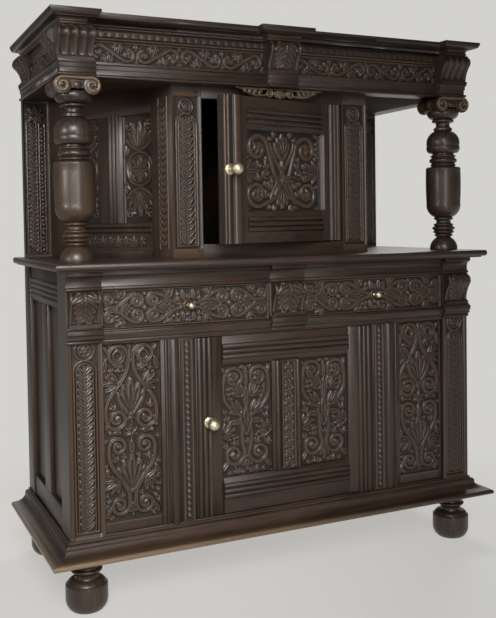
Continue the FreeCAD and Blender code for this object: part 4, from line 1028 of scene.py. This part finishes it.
def carve_post(side):
    """A corner post's leaf arcade, from the plinth to the drawers."""
    low = room("front_post_" + side)[0]
    foot, head = PLINTH_TOP - low[2], DRAWER_LOW - low[2]
    post = Carving(-38, 38, foot + 10, head - 18, POST_RELIEF)
    post.land(-36, 36, foot + 12, head - 20)
    leaf_arcade(post, 32, foot + 18, head - 84, 20, 28)
    front_board("post_carved_" + side, "front_post_" + side, OAK_Z, post)


def carve_front_panel(side):
    low, high = room("front_panel_" + side)
    half, height = (high[0] - low[0]) / 2, high[2] - low[2]
    head = height - 2 * TONGUE
    panel = Carving(RIM - half, half - RIM, -RIM, head + RIM, PANEL_RELIEF)
    panel.land(TONGUE + 2 - half, half - TONGUE - 2, 30, head - 2)
    lyre_panel(panel)
    front_board("panel_scrolls_" + side, "front_panel_" + side, OAK_Z, panel, foot=TONGUE)


def carve_drawer(side):
    low, high = room("drawer_front_" + side)
    half, height = (high[0] - low[0]) / 2, high[2] - low[2]
    drawer = Carving(-half, half, 0, height, SMALL_RELIEF)
    drawer.land(5 - half, half - 5, 5, height - 5)
    drawer_scrolls(drawer, height / 2)
    front_board("drawer_scrolls_" + side, "drawer_front_" + side, OAK_X, drawer)


def bead_muntin(side, way):
    """The beaded band on the muntin beside the lower door."""
    low, high = (corner[2] for corner in room("lower_door_stiles"))
    band = Carving(-BAND_HALF, BAND_HALF, 0, high - low, 0)
    bead_row(band, 5, high - low - 5, 7, 18)
    for edge in (-14, 14):
        band.line([(edge, 0), (edge, high - low)], 3.2, 2.6, 0.5)
    face = on_front(way * MUNTIN_BAND_X, RAIL_FACE - BAND_PROUD - LAID_PROUD, low)
    laid_on("muntin_beads_" + side, "carcass", OAK_Z, band, face)


def carve_drawer_consoles():
    """Consoles on the drawer frieze: a hanging leaf between two fillets."""
    low, high = room("drawer_consoles")
    moulding = Moulding(CONSOLE_SHAPE, FRONT - low[1], low[2], high[2] - low[2])
    for name, x, half, face in (("left", -POST_X, POST_CONSOLE_HALF, FRONT),
                                ("centre", 0, CENTRE_CONSOLE_HALF, RAIL_FACE),
                                ("right", POST_X, POST_CONSOLE_HALF, FRONT)):
        console = Carving(-half, half, 0, moulding.length, 0)
        acanthus(console, half - 6, 18, moulding.length - 10)
        for edge in (5 - half, half - 5):
            console.line([(edge, 16), (edge, moulding.length - 8)], 3, 2.5, 0.6)
        moulded("console_leaf_" + name, "drawer_consoles", moulding, console, on_front(x, face, 0))


def paint_plinth_highlight():
    """The plinth, with a painted highlight along the roll round its foot, strongest on the left, towards the
    lamp.
    """
    plinth = dressed("plinth_moulding", HIGHLIT_OAK_X)
    low, high = room("plinth_moulding")
    x, z = points_of(plinth).T[[0, 2]] / MM
    on_roll = np.clip((PLINTH_ROLL - z + low[2]) / 3, 0, 1)
    # A painted highlight along the roll, stronger to the left
    set_wear_and_highlight(plinth, on_roll * np.interp(x, (low[0], high[0]), PLINTH_HIGHLIGHT))


# Doors

def carve_lower_door():
    """Two scrolled panels and a carved muntin."""
    low, high = room("lower_door_panels")
    height = high[2] - low[2]
    outer = high[0]
    half = (outer - LOWER_PANEL_IN) / 2
    for side, way in SIDES:
        panel = Carving(RIM - half, half - RIM, RIM, height - RIM, DOOR_RELIEF)
        panel.land(TONGUE + 1 - half, half - TONGUE - 1, TONGUE + 1, height - TONGUE - 1)
        door_scrolls(panel, height / 2)
        front_board("lower_panel_scrolls_" + side, "lower_door_panels", OAK_Z, panel,
                    sorted((way * LOWER_PANEL_IN, way * outer)))
    strip = Carving(-25, 25, 0, height - 2 * TONGUE - 10, 0)
    ladder_of_leaves(strip, 21, 2, height - 2 * TONGUE - 12, 27, 3.6)
    face = on_front(0, DOOR_FACE - LAID_PROUD, low[2] + TONGUE + 5)
    laid_on("lower_muntin_leaves", "lower_door", OAK_Z, strip, face)


def carve_upper_door():
    low, high = room("upper_door_panels")
    height, half = high[2] - low[2], UPPER_PANEL_HALF
    panel = Carving(RIM - half, half - RIM, RIM, height - RIM, PANEL_RELIEF)
    panel.land(TONGUE + 1 - half, half - TONGUE - 1, TONGUE + 1, height - TONGUE - 1)
    crossed_scrolls(panel, height / 2)
    face = swung(on_front(0, UPPER_FACE + UPPER_PANEL_INSET, low[2]))
    carved("upper_panel_scrolls", "upper_door", "upper_door_panels", OAK_Z, panel, face,
           at_depth(face, UPPER_PANEL_THICK), [RIM] * 4)


def reed_upper_door():
    """The upper door's stiles: reeds and a broad round by the knob, reeds and a chamfer at the pivot."""
    low, high = room("upper_door_stiles")
    panel_low, panel_high = (corner[2] - low[2] for corner in room("upper_door_panels"))
    knob_low, knob_high = room("upper_door_knob")
    edge = PILASTER_IN - DOOR_GAP
    half = STILE_W / 2
    for side, way in SIDES:
        stile = Carving(-half, half, 0, high[2] - low[2], 0)
        if side == "left":
            stile.rounds((-43, -35, 4), (-34, -22, 6), (-8, 20, 8))
            stile.flat(KNOB_EDGE - half, (knob_low[2] + knob_high[2]) / 2 - low[2], ROSETTE_R)
        else:
            stile.rounds((-8.5, 7, 6.5), (7.5, 23, 6.5), (23.5, 39, 6.5))
            stile.chamfer(-half, -half + 13, panel_low + TONGUE, panel_high - TONGUE, 10)
        face = swung(on_front(way * (edge - half), UPPER_FACE + REEDS_INSET, low[2]))
        carved("upper_stile_reeds_" + side, "upper_door", "upper_door_stiles", OAK_Z, stile, face,
               at_depth(face, DOOR_T))


# Upper stage

def carve_pilaster(side, way):
    """A pilaster's leaf arcade. The board narrows behind, where the canted side meets it."""
    low, high = room("pilaster_" + side)
    height, width = CANOPY - DECK, CANT_START[0] - PILASTER_IN
    edge, foot, head = 8, 26, 30
    pilaster = Carving(-40, 40, foot, height - head, POST_RELIEF)
    pilaster.land(-38, 38, foot + 4, height - head - 3)
    leaf_arcade(pilaster, 33, 36, height - 84, 20, 21)

    def face(u, v, h):
        reach = np.where(h < BACK_BELOW, PILASTER_BACK, width)
        x = PILASTER_IN + (way * u / width + 0.5) * reach
        return np.stack((way * x, UPPER_FACE - h, DECK + v), -1)
    carved("pilaster_carved_" + side, "carcass", "pilaster_" + side, OAK_Z, pilaster, face,
           at_depth(face, high[1] - low[1]), (edge, edge, foot, head))


def carve_cant(side, way):
    """A canted side: two medallions, leaves up its front stile and flowers along its foot."""
    low, high = room("cant_panels_" + side)
    panel_height = high[2] - low[2]
    for name, station in CANT_PANELS:
        panel = Carving(-CANT_PANEL_HALF, CANT_PANEL_HALF, RIM, panel_height - RIM, SMALL_RELIEF)
        panel.land(-62, 62, TONGUE + 2, panel_height - TONGUE - 2)
        roundel_panel(panel, panel_height / 2)
        face = on_cant(station, CANT_PANEL_INSET, way, low[2])
        carved("cant_medallion_%s_%s" % (name, side), "carcass", "cant_panels_" + side, OAK_Z, panel, face,
               at_depth(face, CANT_PANEL_THICK), [RIM] * 4)

    height = CANOPY - DECK
    strip = Carving(-20, 20, 26, height - 32, 0)
    for v in np.arange(40, height - 60, 20.0):
        for turn in (-1, 1):
            strip.leaf(turn * 1.5, v, 90 - turn * 40, 20, 5, 3.2)
    for edge in (-17, 17):
        strip.line([(edge, 28), (edge, height - 34)], 2.6, 2.6, 0.5)
    face = on_cant(CANT_STILE_X, -LAID_PROUD, way, DECK)
    laid_on("cant_stile_leaves_" + side, "carcass", OAK_Z, strip, face)

    row = Carving(-160, 160, 30, 72, 0)
    for i, u in enumerate(np.arange(-136, 140, 34.0)):
        if i % 2:
            row.fan(u, 36, 90, 30, 5, 130, 3.4)
        else:
            row.flower(u, 51, 15, 6, 3.4)
    face = on_cant(CANT_MIDDLE_X, -LAID_PROUD, way, DECK)
    laid_on("cant_foot_flowers_" + side, "carcass", OAK_X, row, face)


def carve_rear_stile(side, way):
    """Laurel and beads on a rear stile. The board widens behind, in back of the canted side."""
    low, high = room("upper_rear_stiles")
    height = CANOPY - DECK
    stile = Carving(-REAR_STILE_W / 2, REAR_STILE_W / 2, 0, height, POST_RELIEF)
    stile.land(-39, 39, 8, height - 8)
    laurel_and_beads(stile, 14, height - 12, way)

    def face(u, v, h):
        inner = np.where(h < BACK_BELOW, REAR_STILE_TIP, CANT_END[0])
        x = high[0] - (0.5 - way * u / REAR_STILE_W) * (high[0] - inner)
        return np.stack((way * x, CANT_END[1] - h, DECK + v), -1)
    carved("rear_stile_carved_" + side, "carcass", "upper_rear_stiles", OAK_Z, stile, face,
           at_depth(face, high[1] - low[1]))


def build_capital(side):
    """A scrolled capital: waisted rolls whose ends are spirals, a band over the top and an egg between."""
    low, high = room("capital_" + side)
    x, y = (low[0] + high[0]) / 2, (low[1] + high[1]) / 2
    depth = (high[1] - low[1]) / 2
    eye_z = high[2] - ROLL_R - 0.5
    waist = [(0, depth - 3), (ROLL_R - 4, depth - 3), (ROLL_R - 1, depth - 4), (ROLL_R, depth - 7),
             (ROLL_R, depth - 13), (ROLL_R - 2, depth - 17), (ROLL_R - 5, 20), (ROLL_R - 3, 11),
             (ROLL_R - 1, 8)]
    profile = [(r, -back) for r, back in waist] + waist[::-1]
    parts = [turned_along_y(profile, x + end * ROLL_X, y, eye_z) for end in (-1, 1)]
    curl = volute(ROLL_X, 0, ROLL_R - 4.5, 90, -1, 1.3, 0.3)
    over = np.concatenate((mirrored(curl)[::-1], curl))
    for face in (-1, 1):
        parts.append(ribbon([(x + u, y + face * (depth - 2.5), eye_z + v) for u, v in over], 4.8))
        for end in (-1, 1):
            parts.append(ball(x + end * ROLL_X, y + face * (depth - 3), eye_z, 6))
        parts.append(ball(x, y + face * (depth - 12), eye_z + 1, 12, (1.3, 0.75, 0.95)))
    parts.append(block(x, y, (low[2] + CAPITAL_NECK + high[2]) / 2, 2 * ROLL_X - 4, 2 * depth - 14,
                       high[2] - low[2] - CAPITAL_NECK, 2))
    capital = joined("capital_scrolled_" + side, parts)
    fixed(capital, "carcass", "capital_" + side, TURNED)


# Canopy

def frieze_pattern(c, count, pitch, start):
    """Running scrolls below, two fillets, and a row of hollows above."""
    running_scrolls(c, count, pitch, start, 31, 23)
    ends = (c.u[0], c.u[-1])
    for v, r, top in ((62, 3.5, c.ground), (70, 4.5, c.ground + 1.5)):
        c.line([(ends[0], v), (ends[1], v)], r, top, 0.5)
    c.land(ends[0], ends[1], 2, 74)
    arcade_row(c, ends[0], ends[1], 76, 93, 24)


def carve_frieze():
    """Carved frieze boards on the front and both sides, and a plain one behind."""
    low, high = room("canopy_frieze")
    half, height = high[0], high[2] - low[2]
    span = half - FRIEZE_END_GAP - FRIEZE_CENTRE_GAP
    frieze = Carving(-half, half, 0, height, SMALL_RELIEF, FRIEZE_PITCH)
    frieze_pattern(frieze, FRIEZE_SCROLLS, span / FRIEZE_SCROLLS, FRIEZE_CENTRE_GAP)
    face = on_front(0, low[1], low[2])
    carved("frieze_scrolls_front", "carcass", "canopy_frieze", OAK_X, frieze, face,
           at_depth(face, FRIEZE_THICK))
    flank_half = (high[1] - low[1] - FRIEZE_THICK) / 2
    for side, way in SIDES:
        flank = Carving(-flank_half, flank_half, 0, height, SMALL_RELIEF, FRIEZE_PITCH)
        frieze_pattern(flank, 1, FLANK_SCROLL, 0)
        face = on_side(half, high[1] - flank_half, low[2], way)
        carved("frieze_scrolls_" + side, "carcass", "canopy_frieze", OAK_Y, flank, face,
               at_depth(face, FRIEZE_THICK))
    rear = block(0, high[1] - FRIEZE_THICK / 2, (low[2] + high[2]) / 2,
                 2 * (half - FRIEZE_THICK), FRIEZE_THICK, height, 1.5)
    rear.name = "frieze_rear"
    fixed(rear, "carcass", "canopy_frieze", OAK_X)


def carve_canopy_consoles():
    """Consoles over the posts and the middle: a leaf, or flutes at the front corners."""
    low, high = room("canopy_front_consoles")
    moulding = Moulding(CANOPY_CONSOLE_SHAPE, FRIEZE_FACE - low[1], low[2], high[2] - low[2])
    half = FRONT_CONSOLE_HALF
    for name, x in (("left", low[0] + half), ("centre", 0), ("right", high[0] - half)):
        console = Carving(-half, half, 0, moulding.length, 0)
        if name == "centre":
            acanthus(console, 40, 18, moulding.length - 8)
            for edge in (-47, 47):
                console.line([(edge, 12), (edge, moulding.length - 6)], 4, 3, 0.6)
        else:
            flutes(console, 49, 26, moulding.length - 12, 4)
        moulded("canopy_console_" + name, "canopy_front_consoles", moulding, console,
                on_front(x, FRIEZE_FACE, 0))

    low, high = room("canopy_side_consoles")
    flank = room("canopy_frieze")[1][0]
    moulding = Moulding(CONSOLE_SHAPE, high[0] - flank, low[2], high[2] - low[2])
    half = SIDE_CONSOLE_HALF
    for side, way in SIDES:
        for name, y in (("front", low[1] + half), ("rear", high[1] - half)):
            console = Carving(-half, half, 0, moulding.length, 0)
            acanthus(console, 42, 18, moulding.length - 8)
            moulded("canopy_console_%s_%s" % (side, name), "canopy_side_consoles", moulding, console,
                    on_side(flank, y, 0, way))


def build_drop():
    """Scrollwork under the middle of the canopy, pierced through to its outline."""
    low, high = room("canopy_drop")
    half, height = high[0], high[2] - low[2]
    c = Carving(-half, half, 0, height, 0, DROP_PITCH)
    head = height - 3
    for way in (-1, 1):
        c.coil(volute(way * 36, head - 14, 13, 90, way, 1.3, 0.3), 4.6, 8)
        over = bridge((way * 36, head - 2), (way, 0.05), (way * 146, head - 1), (way, 0.1), 50)
        c.line(over, (5, 5, 3), 8)
        under = bridge((way * 47, head - 20), (way, -0.1), (way * 134, head - 3), (way, 0.5), 40)
        c.line(under, (5, 6, 4.5, 3), 8)
        for x, length in ((62, 21), (80, 19), (98, 15), (116, 10)):
            c.leaf(way * x, head - 4, 270 + way * 38, length, 6, 7)
        c.leaf(way * 17, head - 8, 270 - way * 12, 17, 6, 7)
    c.fan(0, head - 2, 270, 29, 5, 90, 8, 0.2)
    c.line([(-half + 3, head), (half - 3, head)], 3.6, 6)
    place = on_front(0, high[1], low[2])
    pierced("drop_scrollwork", "canopy_drop", HIGHLIT_OAK_X, c, place, high[1] - low[1])


for side, way in SIDES:
    carve_post(side)
    carve_front_panel(side)
    carve_drawer(side)
    bead_muntin(side, way)
carve_drawer_consoles()
carve_lower_door()
carve_upper_door()
reed_upper_door()
for side, way in SIDES:
    carve_pilaster(side, way)
    carve_cant(side, way)
    carve_rear_stile(side, way)
carve_frieze()
carve_canopy_consoles()
build_drop()
for side in ("left", "right"):
    build_capital(side)
paint_plinth_highlight()

# Plain pieces keep the solids' shapes, with their arrises rubbed
for node in ("front_rails", "frieze_top_moulding", "frieze_base_moulding", "upper_front_rails",
             "lower_door_rails", "upper_door_rails", "canopy_architrave", "cornice", "table_board"):
    dressed(node, OAK_X)
for node in ("front_muntins", "rear_posts", "side_panels", "lower_door_stiles", "cant_frame_left",
             "cant_frame_right", "tenon_pegs"):
    dressed(node, OAK_Z)
dressed("side_frames", OAK_Y)
dressed("canopy_boards", UNWAXED_X)
for node in ("lower_floor", "drawer_box_left", "drawer_box_right", "drawer_runners", "back_rails"):
    dressed(node, PLAIN_X)
for node in ("lower_back_boards", "upper_back_boards"):
    dressed(node, PLAIN_Z, BOARD_ARRIS)
for node in ("turned_post_left", "turned_post_right", "foot_front_left", "foot_front_right",
             "foot_rear_left", "foot_rear_right"):
    dressed(node, TURNED, 0, TURNED_CREASE)
for node in ("drawer_knob_left", "drawer_knob_right", "upper_door_knob", "lower_door_knob"):
    dressed(node, BRASS, 0, TURNED_CREASE)
for node in ("upper_door_latch", "lower_door_latch", "pivot_pins"):
    dressed(node, IRON, IRON_ARRIS, TURNED_CREASE)


# Floor, light and camera

BACKGROUND = "d3d2ce"
FLOOR = "e2e1dc"
FLOOR_SIZE = 60
DIM_FLOOR = 0.35            # share of its light that the floor keeps off to the left and in front
BACKDROP_PLACE = (2.2, 4.8, 3.5)
BACKDROP_SIZE = (7.0, 8.0, 1.0)
FILL = 0.1

# Lamp powers in watts
KEY = 14.5
STRIP = 7
SIDE_FILL = 2.2
REAR_FILL = 9

# The photograph's view, fitted to its edges. The image is 496 by 618 pixels
CAMERA_X = -1.24844
CAMERA_AHEAD = 2.40126      # distance in front of the case
CAMERA_Z = 1.09389
CAMERA_YAW = math.radians(24.94)
CAMERA_PITCH = math.radians(-1.91)
CAMERA_ROLL = -0.01498
IMAGE_HEIGHT = 618
FOCAL_LENGTH = 876.94       # in pixels
LENS_DROP = 59              # in pixels
SENSOR = 36                 # in millimetres


def pale_ground():
    """A pale studio floor that keeps the shadow near the object and runs out into the even background."""
    material, tree = new_material("pale_studio_floor")
    place = add(tree, "ShaderNodeTexCoord").outputs["Object"]
    away = add(tree, "ShaderNodeVectorMath", {"operation": "LENGTH"}, {0: place}).outputs["Value"]
    fade = add(tree, "ShaderNodeMapRange", {"interpolation_type": "SMOOTHSTEP"},
               {0: away, "From Min": 0.7, "From Max": 1.7, "To Min": 0.7}).outputs[0]
    # Off to the left and in front the floor sends back little light, though it looks pale all over
    split = add(tree, "ShaderNodeSeparateXYZ", inputs={0: place}).outputs
    across = add(tree, "ShaderNodeMath", {"operation": "MULTIPLY_ADD"},
                 {0: split[1], 1: -0.16, 2: split[0]}).outputs[0]
    seen = add(tree, "ShaderNodeLightPath").outputs["Is Camera Ray"]
    for reach, dim, full in ((across, -1.5, -0.85), (split[1], -2.2, -1.2)):
        lit = add(tree, "ShaderNodeMapRange", {"interpolation_type": "SMOOTHSTEP"},
                  {0: reach, "From Min": dim, "From Max": full, "To Min": DIM_FLOOR}).outputs[0]
        lit = add(tree, "ShaderNodeMath", {"operation": "MAXIMUM"}, {0: lit, 1: seen}).outputs[0]
        fade = add(tree, "ShaderNodeMath", {"operation": "MULTIPLY"}, {0: fade, 1: lit}).outputs[0]
    near = add(tree, "ShaderNodeBsdfPrincipled", inputs={"Base Color": linear(FLOOR), "Roughness": 0.9})
    far = add(tree, "ShaderNodeEmission", inputs={"Color": linear(BACKGROUND), "Strength": 1.0})
    mix = add(tree, "ShaderNodeMixShader", inputs={0: fade, 1: near.outputs[0], 2: far.outputs[0]})
    add(tree, "ShaderNodeOutputMaterial", inputs={"Surface": mix.outputs[0]})
    return material


def build_stage():
    """The floor and the backdrop paper behind."""
    deselect()
    bpy.ops.mesh.primitive_plane_add(size=FLOOR_SIZE)
    floor = bpy.context.object
    floor.name = "studio_floor"
    floor.data.materials.append(pale_ground())

    deselect()
    bpy.ops.mesh.primitive_plane_add(size=1, location=BACKDROP_PLACE,
                                     rotation=(math.radians(90), 0, -CAMERA_YAW))
    backdrop = bpy.context.object
    backdrop.name = "studio_backdrop"
    backdrop.scale = BACKDROP_SIZE
    bpy.ops.object.transform_apply(location=True, rotation=True, scale=True)
    material, tree = new_material("pale_backdrop_paper")
    glow = add(tree, "ShaderNodeEmission", inputs={"Color": linear(BACKGROUND), "Strength": 1.0})
    add(tree, "ShaderNodeOutputMaterial", inputs={"Surface": glow.outputs[0]})
    backdrop.data.materials.append(material)


def build_surroundings():
    """An even weak light from all round, which looks as pale as the paper."""
    world = bpy.data.worlds.new("studio")
    bpy.context.scene.world = world
    world.use_nodes = True
    tree = world.node_tree
    tree.nodes.clear()
    fill = add(tree, "ShaderNodeBackground", inputs={"Color": linear("ffffff"), "Strength": FILL})
    paper = add(tree, "ShaderNodeBackground", inputs={"Color": linear(BACKGROUND), "Strength": 1.0})
    seen = add(tree, "ShaderNodeLightPath").outputs["Is Camera Ray"]
    mix = add(tree, "ShaderNodeMixShader", inputs={0: seen, 1: fill.outputs[0], 2: paper.outputs[0]})
    add(tree, "ShaderNodeOutputWorld", inputs={"Surface": mix.outputs[0]})


def lamp(name, place, target, size, power, spread):
    """A soft box at one place, turned to a target. Its light spreads over an angle in degrees."""
    data = bpy.data.lights.new(name, "AREA")
    data.shape = "RECTANGLE"
    data.size, data.size_y = size
    data.energy = power
    data.spread = math.radians(spread)
    box = bpy.data.objects.new(name, data)
    bpy.context.collection.objects.link(box)
    box.location = place
    box.rotation_euler = (Vector(target) - Vector(place)).to_track_quat("-Z", "Y").to_euler()


def build_camera():
    ahead = Vector((math.sin(CAMERA_YAW) * math.cos(CAMERA_PITCH),
                    math.cos(CAMERA_YAW) * math.cos(CAMERA_PITCH), math.sin(CAMERA_PITCH)))
    level = Vector((math.cos(CAMERA_YAW), -math.sin(CAMERA_YAW), 0))
    upright = level.cross(ahead)
    right = math.cos(CAMERA_ROLL) * level + math.sin(CAMERA_ROLL) * upright
    up = math.cos(CAMERA_ROLL) * upright - math.sin(CAMERA_ROLL) * level
    data = bpy.data.cameras.new("view")
    data.sensor_width = SENSOR
    data.lens = SENSOR * FOCAL_LENGTH / IMAGE_HEIGHT
    data.shift_y = -LENS_DROP / IMAGE_HEIGHT
    camera = bpy.data.objects.new("view", data)
    bpy.context.collection.objects.link(camera)
    camera.matrix_world = Matrix.Translation((CAMERA_X, FRONT * MM - CAMERA_AHEAD, CAMERA_Z)) @ Matrix(
        (right, up, -ahead)).transposed().to_4x4()
    bpy.context.scene.camera = camera


build_stage()
build_surroundings()
lamp("softbox", (-1.35, -2.75, 2.15), (-0.62, -0.25, 0.72), (1.3, 1.5), KEY, 52)
lamp("strip", (-0.45, -3.2, 0.95), (0.0, 0.0, 0.95), (0.18, 1.8), STRIP, 100)
lamp("side_fill", (-3.3, -1.2, 1.75), (-0.7, -0.1, 1.5), (0.8, 0.8), SIDE_FILL, 36)
lamp("rear_fill", (2.4, 2.0, 3.6), (0.5, 0.2, 0.9), (1.2, 1.2), REAR_FILL, 60)
build_camera()
bpy.context.scene.view_settings.view_transform = "Standard"
